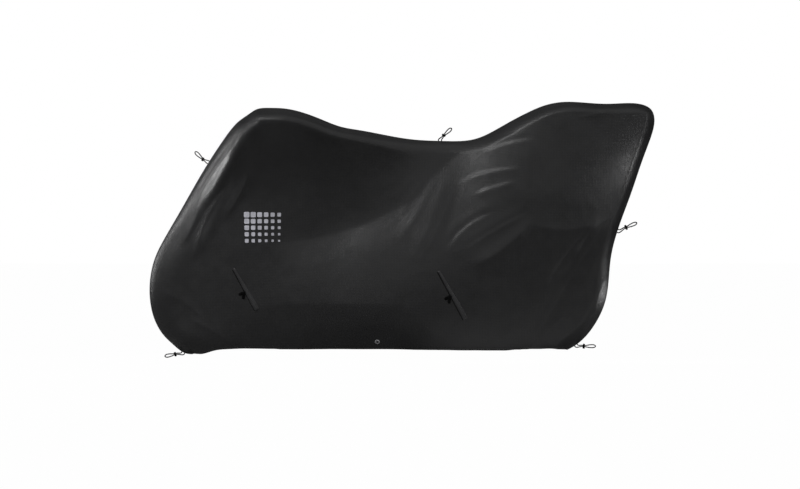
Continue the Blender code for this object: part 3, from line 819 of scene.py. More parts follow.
@dataclass(frozen=True)
class BraidFinish:
    """Round braided cord, its strands slanting both ways; sizes in metres."""

    name: str
    light: Colour
    # colour of the braid's low grooves: painted shade
    dark: Colour
    pitch: float = 0.0022
    turns: float = 8.0
    depth: float = 0.00025
    roughness: float = 0.85
    specular: float = 0.05
    strand_range: Pair = (-0.7, 0.5)

    def build(self) -> bpy.types.Material:
        """Makes the material over a tube's map: metres along, turns around.

        Returns:
            The material.
        """
        pad = NodePad(self.name, self.light, self.roughness, self.specular)
        _, u, v = pad.run("cord")
        along = pad.maths("MULTIPLY", u, TURN / self.pitch)
        around = pad.maths("MULTIPLY", v, TURN * self.turns)
        one = pad.maths("SINE", pad.maths("ADD", along, around))
        two = pad.maths("SINE", pad.maths("SUBTRACT", along, around))
        weave = pad.maths("MULTIPLY", one, two)
        # Painted shade: the colour is darkest where the weave's relief is lowest, in the grooves
        # between the strands, and lightest on the raised strands.
        colour = pad.tint(pad.fade(weave, *self.strand_range, 0.0, 1.0), self.dark, self.light)
        return pad.finish(colour, None, pad.bump(weave, self.depth))


@dataclass(frozen=True)
class PrintFinish:
    """Light grey reflective film with fine glass-bead grain."""

    name: str = "reflective_film"
    colour: Colour = (0.50, 0.50, 0.55)
    rubbed: Colour = (0.40, 0.40, 0.44)
    roughness: float = 0.5
    specular: float = 0.4
    wear: Pair = (55.0, 3.0)
    wear_range: Pair = (0.35, 0.7)
    beads: Pair = (900.0, 1.0)
    bead_depth: float = 0.0001

    def build(self) -> bpy.types.Material:
        """Makes the material, a little rubbed in patches.

        Returns:
            The material.
        """
        pad = NodePad(self.name, self.colour, self.roughness, self.specular)
        place = pad.object_place()
        rubbed = pad.fade(pad.noise(place, *self.wear), *self.wear_range, 0.0, 1.0)
        colour = pad.tint(rubbed, self.colour, self.rubbed)
        relief = pad.bump(pad.noise(place, *self.beads), self.bead_depth)
        return pad.finish(colour, None, relief)


def grey(level: float, blue: float = 0.0) -> Colour:
    """A grey, with a little more blue."""
    return (level, level, level + blue)


class Finish(Enum):
    """The cover's finishes."""

    CLOTH = RipstopFinish()
    # The flap is the cover's own cloth with its colours about twice as light: a painted highlight
    # on the raised flap.
    FLAP = RipstopFinish(
        name="painted_highlight_flap",
        ground=grey(0.016, 0.001),
        worn=grey(0.022, 0.001),
        line_colour=grey(0.030, 0.001),
        edges=False,
    )
    TAPE = TrimFinish("zip_tape", grey(0.002), grey(0.004), 0.8, 900.0, 0.0002, specular=0.10)
    TEETH = TrimFinish("zip_teeth", grey(0.002), grey(0.004), 0.5, 400.0, 0.0001, specular=0.12)
    SLIDER = TrimFinish(
        "slider_lacquer", grey(0.001), grey(0.003), 0.35, 700.0, 0.00005, specular=0.15
    )
    PULLER = TrimFinish(
        "puller_rubber", grey(0.001), grey(0.003), 0.7, 500.0, 0.0001, specular=0.06
    )
    EYELET = TrimFinish(
        "eyelet_nickel", grey(0.52, 0.01), grey(0.36, 0.01), 0.34, 1200.0, 0.00004, metal=1.0
    )
    THREAD = TrimFinish("thread", grey(0.022, 0.001), grey(0.030, 0.001), 0.7, 2500.0, 0.0001)
    CORD = BraidFinish("grey_braid", grey(0.022, 0.001), grey(0.006))
    # The knot is tied in the loops' own grey cord, coloured darker here: painted shade on the knot.
    KNOT = BraidFinish("shaded_knot_braid", grey(0.010), grey(0.003))
    PRINT = PrintFinish()

    def material(self) -> bpy.types.Material:
        """The finish's material, made once."""
        return bpy.data.materials.get(self.value.name) or self.value.build()


# -- meshes ---------------------------------------------------------------------


def add_piece(mesh: Mesh, finish: Finish) -> Piece:
    """Adds a finished piece of the cover, named like its mesh.

    Args:
        mesh: the piece's mesh, in the cover's frame.
        finish: what it is made of.

    Returns:
        The new object, riding on the cover.
    """
    piece = bpy.data.objects.new(mesh.name, mesh)
    bpy.context.scene.collection.objects.link(piece)
    mesh.materials.append(finish.material())
    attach(piece, "root")
    LOG.info("%s has %d faces", piece.name, len(mesh.polygons))
    return piece


def add_maps(mesh: Mesh, maps: dict[str, Array]) -> None:
    """Adds UV maps to a mesh.

    Args:
        mesh: the mesh.
        maps: for each map, a u and v for every vertex.
    """
    corners = np.empty(len(mesh.loops), dtype=np.int32)
    mesh.loops.foreach_get("vertex_index", corners)
    for label, places in maps.items():
        layer = mesh.uv_layers.new(name=label)
        layer.uv.foreach_set("vector", places[corners].astype(np.float32).ravel())


def mesh_of(
    name: str, points: Array, faces: Array | list, maps: dict[str, Array] | None = None
) -> Mesh:
    """Smooth mesh from points and faces.

    Args:
        name: the mesh's name.
        points: its vertices.
        faces: its faces, as rows of vertex numbers facing out.
        maps: UV maps, each a u and v for every vertex.

    Returns:
        The mesh.
    """
    mesh = bpy.data.meshes.new(name)
    rows = faces.tolist() if isinstance(faces, np.ndarray) else faces
    mesh.from_pydata(np.asarray(points).tolist(), [], rows)
    add_maps(mesh, maps or {})
    mesh.shade_smooth()
    return mesh


def ring_faces(rings: int, count: int) -> list[list[int]]:
    """Faces of a closed body of rings, each ring joined to the next.

    Args:
        rings: how many rings of points there are.
        count: the points in each.

    Returns:
        The faces, the two end caps last.
    """
    faces = []
    for start in range(0, (rings - 1) * count, count):
        for k in range(count):
            after = (k + 1) % count
            faces.append([start + k, start + after, start + count + after, start + count + k])
    top = (rings - 1) * count
    return faces + [list(range(count))[::-1], [top + k for k in range(count)]]


def tube_mesh(name: str, path: Array, radius: float, sides: int) -> Mesh:
    """Round tube along a path, with closed ends and a map named cord.

    Args:
        name: the mesh's name.
        path: points of the centreline.
        radius: the tube's radius.
        sides: its number of sides.

    Returns:
        The mesh.
    """
    heading = unit(np.gradient(path, axis=0))
    side = np.cross(heading[0], (0.0, 1.0, 0.0))
    first = []
    for ahead in heading:
        side = unit(side - ahead * np.dot(side, ahead))
        first.append(side)
    first = np.array(first)[:, None]
    second = np.cross(heading[:, None], first)
    share = np.arange(sides) / sides
    c, s = np.cos(TURN * share)[:, None], np.sin(TURN * share)[:, None]
    points = path[:, None] + radius * (first * c + second * s)
    uv = np.stack(np.broadcast_arrays(run_along(path)[:, None], share), axis=-1)
    faces = ring_faces(len(path), sides)
    return mesh_of(name, points.reshape(-1, 3), faces, {"cord": uv.reshape(-1, 2)})


def joined(parts: list[Shape]) -> Shape:
    """Points and faces of several closed shapes as one list of each."""
    points, faces, start = [], [], 0
    for spots, rows in parts:
        points.append(spots)
        faces += [[start + k for k in row] for row in rows]
        start += len(spots)
    return np.concatenate(points), faces


ROUTE_SAMPLES = 800


def smooth_route(points: list[Array], step: float) -> Array:
    """Evenly spaced places on a smooth curve.

    Args:
        points: side-view points that the curve goes through.
        step: about how far apart the places are.

    Returns:
        The places, x and z.
    """
    route = np.array(points, dtype=float)
    reach = run_along(route)
    fine = np.linspace(0, reach[-1], ROUTE_SAMPLES)
    curve = np.stack([spline(reach, column, fine) for column in route.T], axis=-1)
    length = run_along(curve)
    even = np.linspace(0, length[-1], int(length[-1] / step) + 1)
    return read_rows(curve, length, even)


def cell_corners(grid: Array) -> list[Array]:
    """The four corners of a grid's cells, in order round each cell."""
    return [grid[:-1, :-1], grid[1:, :-1], grid[1:, 1:], grid[:-1, 1:]]


# -- cloth panels ---------------------------------------------------------------

# Creases over the main folds, in millimetres: ridges, or troughs where the
# height is negative, with straight flanks and a rounded crest.
#   x0, z0, x1, z1, bow, width, height, crest radius
NEAR_CREASES = (
    # facets: the waist, the bulge and the edges of the broad planes
    (-680, -427, -105, -225, -38, 60, -7.5, 4),
    (-122, -246, 84, -32, 17, 50, -6.5, 5),
    (-794, -687, -164, -683, 6, 60, 5.5, 7),
    (-172, -683, -38, -834, 13, 50, 3, 8),
    (-815, 81, -878, -171, -13, 45, 4, 4),
    (-655, 60, -638, -179, 0, 40, -2.2, 5),
    (-672, 73, -21, -70, -19, 30, 2.5, 8),
    (-794, 86, -647, 65, 4, 20, 2, 4),
    (67, -78, -8, -431, 0, 50, -5, 5),
    (340, -7, 332, -280, 0, 60, 5, 7),
    (122, -519, 344, -347, -17, 34, 6, 4),
    (344, -347, 697, -318, -38, 60, 8, 4),
    (155, -549, 382, -633, 0, 50, -3, 12),
    # pulls of the front
    (-878, 48, -1075, -250, -13, 11, 3, 2),
    (-895, -19, -1046, -246, -8, 9, -4, 2),
    (-853, -11, -1033, -271, -13, 12, 5, 2),
    (-920, -200, -1071, -431, -13, 11, -3, 2.5),
    (-924, -221, -1042, -481, -17, 12, 4, 2.5),
    (-1016, -263, -1092, -427, 8, 10, 3, 2.5),
    (-815, -145, -907, -313, 8, 9, 2.5, 2),
    # fan under the dip
    (-130, -150, -235, -242, 8, 12, 1.2, 3),
    (-84, -150, -277, -343, 17, 14, 1.4, 3),
    (-46, -145, -202, -423, 17, 14, 1.6, 3),
    (-4, -145, -143, -498, 17, 15, 1.8, 3),
    (71, -91, -118, -515, 21, 16, 2, 3),
    (-101, -179, -256, -372, 13, 12, 1.2, 3),
    (-101, -246, -160, -364, 8, 12, 1.2, 3),
    # rear
    (819, -19, 697, -318, 6, 14, 1.5, 2),
    (802, 44, 844, 18, 0, 8, 2.5, 2),
    (592, -372, 433, -586, -8, 15, -5, 3),
    (626, -351, 542, -490, -8, 14, 4.5, 3),
    (680, -557, 626, -717, -13, 14, 3, 3),
    (517, 119, 689, 132, -4, 9, 2, 2),
    (546, 94, 701, 123, -4, 9, 2, 2),
    (752, 107, 861, 115, 0, 12, 2.5, 3),
    # small marks of the crown and the hem
    (-626, 86, -512, 56, -2, 7, 2, 2),
    (-815, 115, -815, 86, 0, 9, 3, 2),
    (399, -817, 508, -717, 4, 9, 2, 2.5),
    (466, -855, 592, -742, 4, 9, 2.2, 2.5),
    (542, -859, 651, -759, 4, 9, 2.2, 2.5),
    (496, -759, 559, -691, 4, 9, 1.8, 2.5),
    (-1197, -624, -1008, -742, 13, 18, 2, 4),
    (-1071, -742, -895, -843, 8, 16, 2, 4),
)
FAR_CREASES = (
    (-672, -418, -84, -145, -50, 70, -6, 8),
    (-780, -690, -170, -690, 6, 60, 4, 9),
    (-815, 82, -878, -168, -12, 45, 4, 6),
    (342, -8, 330, -280, 0, 60, 5, 8),
    (120, -520, 345, -345, -16, 34, 5, 5),
    (-105, -180, -253, -370, -8, 15, 3, 4),
    (20, -150, -60, -330, -8, 15, 3, 4),
    (170, 10, 310, 50, 4, 12, 3, 3),
    (150, -210, 290, -165, 5, 14, 4, 3),
    (100, -300, 260, -240, 6, 14, 4, 3),
    (826, 20, 700, -300, -8, 28, 5, 4),
    (560, -430, 480, -560, 6, 16, 4, 4),
    (-860, -150, -1000, -400, 8, 15, 4, 3),
    (-900, -100, -1050, -330, 8, 14, 4, 3),
    (-500, -790, -440, -862, 3, 16, 3, 3),
    (120, -800, 150, -866, 3, 16, 3, 3),
)

# Pleats, in millimetres: the cloth right of the line stands higher.
#   x0, z0, x1, z1, bow, width, height
NEAR_PLEATS = (
    (164, -11, 315, 35, 4, 6, 1.4),
    (160, -45, 361, 6, 8, 7, 2.6),
    (63, -166, 302, -116, 13, 9, 3.4),
    (118, -221, 286, -171, 4, 9, 3.2),
    (4, -456, 197, -301, 25, 8, 3.2),
    (84, -448, 336, -301, 8, 9, 2.4),
    (680, -578, 626, -729, -13, 8, 1.5),
)
FAR_PLEATS = (
    (170, -10, 330, 26, 6, 8, 2),
    (70, -190, 300, -130, 8, 9, 2.5),
    (20, -400, 240, -290, 14, 9, 2.5),
)

# Broad swellings, in millimetres.
#   x0, z0, x1, z1, bow, width, height
NEAR_SWELLS = (
    (-1150, -830, -840, -860, 0, 90, 10),
    (0, -850, 460, -850, 0, 90, 12),
    (-690, -420, -95, -215, -40, 90, -11),
    (861, 48, 701, -339, 6, 45, -5),
)
FAR_SWELLS = (
    (-1150, -830, -840, -860, 0, 90, 8),
    (0, -850, 460, -850, 0, 90, 8),
)


@dataclass
class ClothPanel:
    """One side of the cover: a single sheet from the seam to its turned hem."""

    form: CoverForm
    side: Side
    name: str
    stands_for: tuple[str, ...]
    folds: Rows
    swells: Rows
    creases: Rows
    pleats: Rows
    columns: int
    edge_rows: int
    side_rows: int
    broad: Crumple
    fine: Crumple
    flat: Pair = (2.3, 1.15)
    area: float = 2.25
    first_rib: float = 0.45
    last_rib: float = 47.55
    rib_samples: int = 300
    hem_turn: int = 4
    hem_thick: float = 0.0009
    overrun: float = 0.1
    taper: float = 0.35
    pleat_reach: float = 0.040
    relief_fade: float = 0.03
    least_width: float = 0.05 * MM
    hole_slack: float = 0.5 * MM
    stitch_pitch: float = 0.0050
    stitch_length: float = 0.0035
    piece: Piece = field(init=False)
    outer: Array = field(init=False)
    normal: Array = field(init=False)
    keep: Array = field(init=False)
    maps: dict[str, Array] = field(init=False)

    def build(self) -> None:
        """Makes and dresses the panel."""
        self.shape()
        points = np.concatenate([self.outer, self.hem_rows()], axis=1)
        rows, columns = points.shape[:2]
        index = np.arange(rows * columns).reshape(rows, columns)
        keep = np.concatenate([self.keep, np.ones((rows - 1, self.hem_turn), bool)], axis=1)
        faces = np.stack(cell_corners(index), axis=-1)[keep]
        if self.side is Side.NEAR:
            faces = faces[:, ::-1]
        maps = {name: self.turned_map(places) for name, places in self.maps.items()}
        mesh = mesh_of(self.name, points.reshape(-1, 3), faces, maps)
        self.piece = add_piece(mesh, Finish.CLOTH)
        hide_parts(*self.stands_for)

    def declare(self, with_pieces: list[Piece]) -> None:
        """Does nothing."""

    def shape(self) -> None:
        """Works out the outer face, its normals and its maps."""
        ribs = np.linspace(self.first_rib, self.last_rib, self.columns + 1)
        along = self.rib_steps(ribs)
        rib = np.repeat(ribs[:, None], along.shape[1], axis=1)
        near = self.side is Side.NEAR
        x, z, width, away = self.form.half_width(rib, along, self.folds + self.swells, near)
        width = np.maximum(width, 0.0)
        width[:, 0] = 0.0  # the panels meet in the seam
        outer = np.stack([x, self.side.value * width, z], axis=-1)
        relief = self.relief(x, z) * smooth(away / self.relief_fade)
        if near:
            relief = relief * (1 - self.form.seat.flatness(x, z))
        self.outer = outer + self.normals(outer) * relief[..., None]
        width = np.maximum(self.side.value * self.outer[..., 1], self.least_width)
        self.outer[..., 1] = self.side.value * width
        self.keep = np.ones((rib.shape[0] - 1, rib.shape[1] - 1), bool)
        if near:
            self.open_eyelet_hole()
        self.normal = self.normals(self.outer)
        self.maps = self.cloth_maps()

    def rib_steps(self, ribs: Array) -> Array:
        """Places down each rib: close together over the rounded edge, then even.

        Args:
            ribs: the ribs' numbers.

        Returns:
            For each rib its places, 0 at the seam and 1 at the hem.
        """
        turn = np.linspace(0, math.pi / 2, self.edge_rows + 1)
        down = np.linspace(0, 1, self.side_rows + 1)[1:]
        fine = np.linspace(0, 1, self.rib_samples)
        grid_rib, grid_along = np.meshgrid(ribs, fine, indexing="ij")
        away = self.form.seam_distance(*self.form.rib_points(grid_rib, grid_along))
        away = np.maximum.accumulate(away, axis=1)
        roofs = np.minimum(self.form.on_girths(ribs, ROOF) * MM, away[:, -1] / 2)
        rows = []
        for reach, roof in zip(away, roofs):
            over = np.interp(roof * (1 - np.cos(turn)), reach, fine)
            rows.append(np.concatenate([over, over[-1] + (1 - over[-1]) * down]))
        return np.array(rows)

    def normals(self, grid: Array) -> Array:
        """Normals of a grid of points.

        Args:
            grid: the points, rib by rib.

        Returns:
            A unit vector out of the cover at each.
        """
        normal = np.cross(np.gradient(grid, axis=0), np.gradient(grid, axis=1))
        size = np.linalg.norm(normal, axis=-1, keepdims=True)
        normal = normal / np.maximum(size, 1e-12)
        return np.where(normal[..., 1:2] * self.side.value < 0, -normal, normal)

    def relief(self, x: Array, z: Array) -> Array:
        """Height of crumples, creases and pleats over the main folds.

        Args:
            x: the points' x, in metres.
            z: the points' z, in metres.

        Returns:
            The height in metres at each point.
        """
        total = self.broad.at(x, z) + self.fine.at(x, z)
        for *line, width, height, crest in self.creases:
            share, off = along_line(line, x, z)
            slant = (np.hypot(off, crest * MM) - crest * MM) / (width * MM)
            total += height * MM * line_ends(share, self.overrun, self.taper) * np.exp(-slant)
        for *line, width, height in self.pleats:
            share, off = along_line(line, x, z)
            step = np.tanh(off / (width * MM)) * np.exp(-np.abs(off) / self.pleat_reach)
            total -= height * MM * line_ends(share, self.overrun, self.taper) * step
        return total

    def open_eyelet_hole(self) -> None:
        """Takes out the cells under the eyelet and rounds the hole's edge."""
        seat = self.form.seat
        tilt = math.sqrt(1 + seat.slope**2)
        dx = self.outer[..., 0] - seat.x
        dz = (self.outer[..., 2] - seat.z) * tilt
        middle_x, middle_z = (sum(cell_corners(grid)) / 4 for grid in (dx, dz))
        cut = np.hypot(middle_x, middle_z) < seat.hole - self.hole_slack
        self.keep &= ~cut
        touched, kept = np.zeros(dx.shape, bool), np.zeros(dx.shape, bool)
        for corners, cells in ((touched, cut), (kept, ~cut)):
            for part in cell_corners(corners):
                part |= cells
        edge = touched & kept
        grow = seat.hole / np.maximum(np.hypot(dx, dz), 1e-9)
        self.outer[edge, 0] = (seat.x + dx * grow)[edge]
        self.outer[edge, 2] = (seat.z + dz * grow / tilt)[edge]
        self.outer[edge, 1] = self.side.value * seat.plane(self.outer[edge, 2])

    def cloth_maps(self) -> dict[str, Array]:
        """Works out the panel's maps, all in metres.

        Returns:
            The cloth's own run, and the runs along and away from seam and hem.
        """
        down = np.stack([run_along(rib) for rib in self.outer])
        up = down[:, -1:] - down
        hem = self.outer[:, -1][:, [0, 2]]
        lean = unit(self.outer[:, 0][:, [0, 2]] - hem)
        maps = {"cloth": hem[:, None] + lean[:, None] * up[..., None]}
        for label, row, across in (("seam", 0, down), ("hem", -1, up)):
            along = run_along(self.outer[:, row])[:, None]
            maps[label] = np.stack(np.broadcast_arrays(along, across), axis=-1)
        return maps

    def hem_rows(self) -> Array:
        """Works out the hem's turned-in edge.

        Returns:
            Its rows of points, from the fold upwards inside.
        """
        inward = -self.normal
        rows = [self.outer[:, -1] + inward[:, -1] * self.hem_thick / 2]
        rows[0][:, 2] -= self.hem_thick / 2
        for k in range(1, self.hem_turn):
            rows.append(self.outer[:, -k] + inward[:, -k] * self.hem_thick)
        return np.stack(rows, axis=1)

    def turned_map(self, places: Array) -> Array:
        """A map carried on over the hem's turned-in rows, as one row per vertex."""
        rows = [places[:, -1]] + [places[:, -k] for k in range(1, self.hem_turn)]
        return np.concatenate([places, np.stack(rows, axis=1)], axis=1).reshape(-1, 2)

    def hem_stitches(self) -> Piece:
        """Makes the row of thread stitches along the hem.

        Returns:
            The piece of joined stitches.
        """
        tables = []
        for grid in (self.outer, self.normal):
            ribs = zip(grid[:, ::-1], self.maps["hem"][:, ::-1, 1])
            tables.append(np.array([read_rows(rib, up, STITCH_HEIGHT) for rib, up in ribs]))
        name = f"{self.name}_stitches"
        mesh = stitch_mesh(name, *tables, self.stitch_pitch, self.stitch_length)
        return add_piece(mesh, Finish.THREAD)


STITCH_HALF = 0.25 * MM
STITCH_RISE = 0.35 * MM
STITCH_ROUND = ((2, 3), (3, 4), (4, 5), (5, 2))  # sides of a stitch's middle section


def stitch_mesh(name: str, line: Array, lift: Array, pitch: float, length: float) -> Mesh:
    """Row of small rounded stitches on a line of the cloth.

    Args:
        name: the mesh's name.
        line: points of the line, on the cloth.
        lift: the cloth's outward normal at each.
        pitch: from one stitch to the next.
        length: a stitch's length.

    Returns:
        The mesh of all stitches.
    """
    run = run_along(line)
    faces = [[0, a, b] for a, b in STITCH_ROUND] + [[1, b, a] for a, b in STITCH_ROUND]
    parts = []
    for start in np.arange(pitch, run[-1] - pitch, pitch):
        places = np.array([start, start + length / 2, start + length])
        first, middle, last = read_rows(line, run, places)
        out = unit(read_rows(lift, run, start))
        beside = unit(np.cross(last - first, out)) * STITCH_HALF
        crown, foot = middle + out * STITCH_RISE, middle - out * STITCH_HALF
        spots = [first, last, crown, middle + beside, foot, middle - beside]
        parts.append((np.array(spots), faces))
    return mesh_of(name, *joined(parts))


# -- seating on the cloth -------------------------------------------------------


class Skin:
    """A panel's outer face as something to set pieces on."""

    OUTSIDE = 0.6

    def __init__(self, panel: ClothPanel) -> None:
        """Reads the panel's mesh.

        Args:
            panel: a built panel.
        """
        self.sign = panel.side.value
        mesh = panel.piece.data
        corners = [vertex.co for vertex in mesh.vertices]
        self.tree = BVHTree.FromPolygons(corners, [face.vertices for face in mesh.polygons])

    def at(self, x: float, z: float) -> tuple[Array, Array]:
        """Reads the cloth at a place of the side view.

        Args:
            x: the place's x.
            z: the place's z.

        Returns:
            The cloth's point and its outward normal.
        """
        source = Vector((x, self.sign * self.OUTSIDE, z))
        spot, normal, _, _ = self.tree.ray_cast(source, Vector((0, -self.sign, 0)))
        normal = np.array(normal)
        if normal[1] * self.sign < 0:
            normal = -normal
        return np.array(spot), normal

    def laid(self, places: Array, reach: float) -> tuple[Array, Array]:
        """Cloth points and normals at rows of x and z, evened out over a reach.

        Args:
            places: x and z of each place.
            reach: half the width that the normals are averaged over.

        Returns:
            The points and unit normals.
        """
        near = (-reach, 0, reach)
        points, normals = [], []
        for x, z in places:
            spots = [self.at(x + dx, z + dz) for dx in near for dz in near]
            points.append([x, np.mean([spot[1] for spot, _ in spots]), z])
            normals.append(unit(np.mean([normal for _, normal in spots], axis=0)))
        return np.array(points), np.array(normals)


def strip_shape(points: Array, normals: Array, across: Array, section: Array | Rows) -> Shape:
    """Closed strip of one section swept along a line on the cloth.

    Args:
        points: the line's points.
        normals: the outward normals there.
        across: unit vectors to the strip's right, one for each point.
        section: offsets to the right and outward, around the section; one more
            axis of rows, one for each point, gives a section that changes.

    Returns:
        The strip's points and faces.
    """
    right, out = np.split(np.asarray(section, dtype=float), 2, axis=-1)
    spots = points[:, None] + across[:, None] * right + normals[:, None] * out
    return spots.reshape(-1, 3), ring_faces(*spots.shape[:2])


def rectangle(width: float, height: float) -> Rows:
    """Corners of a rectangle about the middle, in order."""
    return tuple((a * width / 2, b * height / 2) for a, b in ((-1, -1), (1, -1), (1, 1), (-1, 1)))


def plate_shape(seat: Seat, outline: Rows, levels: Rows) -> Shape:
    """Closed body that stands on the cloth, of one outline at several levels.

    Args:
        seat: its place, and unit vectors to the right, ahead and outward.
        outline: the outline's points in order, to the right and ahead.
        levels: height and share of the outline's size, from the lowest up.

    Returns:
        The body's points and faces.
    """
    place, right, ahead, out = seat
    a, b = np.array(outline).T[..., None]
    spots = [place + (right * a + ahead * b) * share + out * height for height, share in levels]
    return np.concatenate(spots), ring_faces(len(levels), len(outline))


BOX_FLANK = 0.7  # share of a box's height below its taper


def box_shape(seat: Seat, size: Triple, taper: float = 1.0) -> Shape:
    """Box that stands on the cloth, drawn in towards its top.

    Args:
        seat: its place, and unit vectors to the right, ahead and outward.
        size: width, length and height.
        taper: share of width and length left at the top.

    Returns:
        The box's points and faces.
    """
    width, length, height = size
    levels = ((0.0, 1.0), (height * BOX_FLANK, 1.0), (height, taper))
    return plate_shape(seat, rectangle(width, length), levels)


# -- ports ----------------------------------------------------------------------

# Points round the flap's section: shares of the flap's width, of its free
# edge's place and of its lift, what is added to each, and the cloth's run there.
#   of width, of edge, right, of lift, out, run
FLAP_SECTION = (
    (0, 1, 0, 1, 0, 0),
    (0, 1, 0.0010, 1, -0.0009, 0.001),
    (0.45, 0, 0, 0.25, 0.0004, 0.006),
    (1, 0, 0, 0, -0.0010, 0.014),
    (1, 0, 0.0006, 0, 0.0004, 0.015),
    (0.72, 0, 0, 0, 0.0013, 0.010),
    (0.40, 0, 0, 0.45, 0.0014, 0.006),
    (0, 1, 0.0008, 1, 0.0009, 0),
)
# Right half of the slider's outline, in shares of its width and half length.
SLIDER_HALF = ((0.31, -1), (0.46, -0.55), (0.5, 0.1), (0.5, 0.8), (0.40, 1))
# Section of the puller's tails, in shares of half their width and thickness.
TAIL_SECTION = ((-1, 0), (-0.8, -1), (0.8, -1), (1, 0), (0.8, 1), (-0.8, 1))


@dataclass
class ZipPort:
    """Zipped port: tape and teeth beside a sewn flap, a slider and its puller."""

    name: str
    top: Pair
    bottom: Pair
    slider_at: float
    seed: int
    samples: int = 65
    evened: float = 0.004
    flap_width: Pair = (0.009, 0.017)
    flap_flare: float = 1.25
    flap_lift: Pair = (0.0016, 0.0024)
    flap_edge: Pair = (0.0012, 0.0008)
    flap_lift_from: float = 0.25
    flap_edge_from: float = 0.3
    flap_change: float = 0.5
    waves: tuple[float, ...] = (1.5, 2.7, 4.3)
    wave_phase: float = 6.28
    wave_height: float = 0.00035
    seam_ends: Pair = (0.02, 0.98)
    seam_samples: int = 60
    seam_inset: float = 0.0028
    seam_lift: float = 0.0013
    stitch_pitch: float = 0.0036
    stitch_length: float = 0.0026
    tape_width: float = 0.0070
    tape_foot: float = -0.0012
    tape_top: Pair = (0.0006, 0.0005)
    teeth_ends: Pair = (0.004, 0.003)
    tooth_pitch: float = 0.0022
    tooth_size: Triple = (0.0026, 0.0013, 0.0013)
    tooth_place: Pair = (-0.0036, 0.0003)
    tooth_aside: float = 0.0007
    tooth_taper: float = 0.7
    slider_size: Triple = (0.009, 0.014, 0.0036)
    plate_foot: float = 0.0004
    plate_top: float = 0.0014
    cap_thick: float = 0.0012
    cap_share: float = 0.96
    post_foot: float = 0.0010
    post_width: float = 0.0030
    post_share: float = 0.7
    post_short: float = 0.0016
    bridge_steps: int = 13
    bridge_half: float = 0.0036
    bridge_rise: float = 0.0020
    bridge_sunk: float = 0.0002
    bridge_section: Pair = (0.0022, 0.0010)
    pulls: tuple[Pair, ...] = ((-0.024, -0.013), (-0.005, -0.031))
    pull_steps: int = 15
    pull_bow: float = 0.0012
    pull_evened: float = 0.003
    pull_rise: float = 0.0019
    pull_fall: float = 0.0030
    pull_fall_rate: float = 1.6
    pull_layer: float = 0.0007
    pull_width: float = 0.0120
    pull_thick: float = 0.0014
    pull_neck: float = 0.62
    pull_flare: float = 3.0
    pull_round: Pair = (0.86, 0.15)
    pull_least: float = 0.08
    skin: Skin = field(init=False)
    length: float = field(init=False)
    share: Array = field(init=False)
    points: Array = field(init=False)
    normals: Array = field(init=False)
    ahead: Array = field(init=False)
    right: Array = field(init=False)

    def build(self, skin: Skin) -> list[Piece]:
        """Makes the port's pieces on the cloth.

        Args:
            skin: the panel that carries the port.

        Returns:
            The pieces.
        """
        start, end = np.array(self.top), np.array(self.bottom)
        self.skin = skin
        self.length = float(np.hypot(*(end - start)))
        self.share = np.linspace(0, 1, self.samples)
        places = start + (end - start) * self.share[:, None]
        self.points, self.normals = skin.laid(places, self.evened)
        self.ahead = unit(np.gradient(self.points, axis=0))
        self.right = unit(np.cross(self.normals, self.ahead))
        makers = (self.tape, self.flap, self.flap_seam, self.teeth, self.slider, self.puller)
        return [make() for make in makers]

    def at(self, share: float) -> Seat:
        """Point, right, ahead and out vectors at a share of the zip's length."""
        tables = (self.points, self.right, self.ahead, self.normals)
        point, *ways = (read_rows(table, self.share, share) for table in tables)
        return point, *map(unit, ways)

    def piece(self, part: str, shape: Shape, finish: Finish, slot: str, flat: bool = True) -> Piece:
        """Adds one piece of the port, its faces turned outward.

        Args:
            part: the piece's name within the port.
            shape: points and faces of its closed bodies.
            finish: what it is made of.
            slot: name of a material slot; not used.
            flat: whether its faces are shaded flat.

        Returns:
            The piece.
        """
        mesh = mesh_of(f"{self.name}_{part}", *shape)
        face_out(mesh)
        if flat:
            mesh.shade_flat()
        return add_piece(mesh, finish)

    def tape(self) -> Piece:
        """Makes the woven zip tape, mostly under the flap.

        Returns:
            The piece.
        """
        left, foot = -self.tape_width, self.tape_foot
        section = ((left, foot), (0.0, foot), (0.0, self.tape_top[0]), (left, self.tape_top[1]))
        shape = strip_shape(self.points, self.normals, self.right, section)
        tape = self.piece("tape", shape, Finish.TAPE, "zip_tape")
        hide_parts(f"{self.name}_zip")
        return tape

    def flap_reach(self, share: Array | float) -> Array:
        """Width of the flap at shares of its length."""
        narrow, wide = self.flap_width
        return narrow + (wide - narrow) * smooth(share * self.flap_flare)

    def flap_section(self) -> Array:
        """Works out the flap's section down the port, raised at its free edge.

        Returns:
            Offsets to the right and outward round it, for each point of the line.
        """
        dice = np.random.default_rng(self.seed)
        share = self.share[:, None]
        rise = smooth((share - self.flap_lift_from) / self.flap_change)
        lift = self.flap_lift[0] + self.flap_lift[1] * rise
        for turns in self.waves:
            phase = dice.uniform(0, self.wave_phase)
            lift = lift + self.wave_height * np.sin(phase + turns * TURN * share)
        spread = smooth((share - self.flap_edge_from) / self.flap_change)
        edge = -self.flap_edge[0] - self.flap_edge[1] * spread
        of_width, of_edge, right, of_lift, out, _ = np.array(FLAP_SECTION).T
        aside = self.flap_reach(share) * of_width + edge * of_edge + right
        return np.stack([aside, lift * of_lift + out], axis=-1)

    def flap(self) -> Piece:
        """Makes the sewn weather flap beside the zip.

        Returns:
            The piece.
        """
        shape = strip_shape(self.points, self.normals, self.right, self.flap_section())
        # Its finish is the cloth painted lighter: a painted highlight.
        flap = self.piece("painted_highlight_flap", shape, Finish.FLAP, "coated_cloth", flat=False)
        around, down = np.array(FLAP_SECTION)[:, -1], self.share[:, None] * self.length
        run = np.stack(np.broadcast_arrays(around, down), axis=-1)
        add_maps(flap.data, {"cloth": run.reshape(-1, 2)})
        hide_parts(f"{self.name}_flap")
        return flap

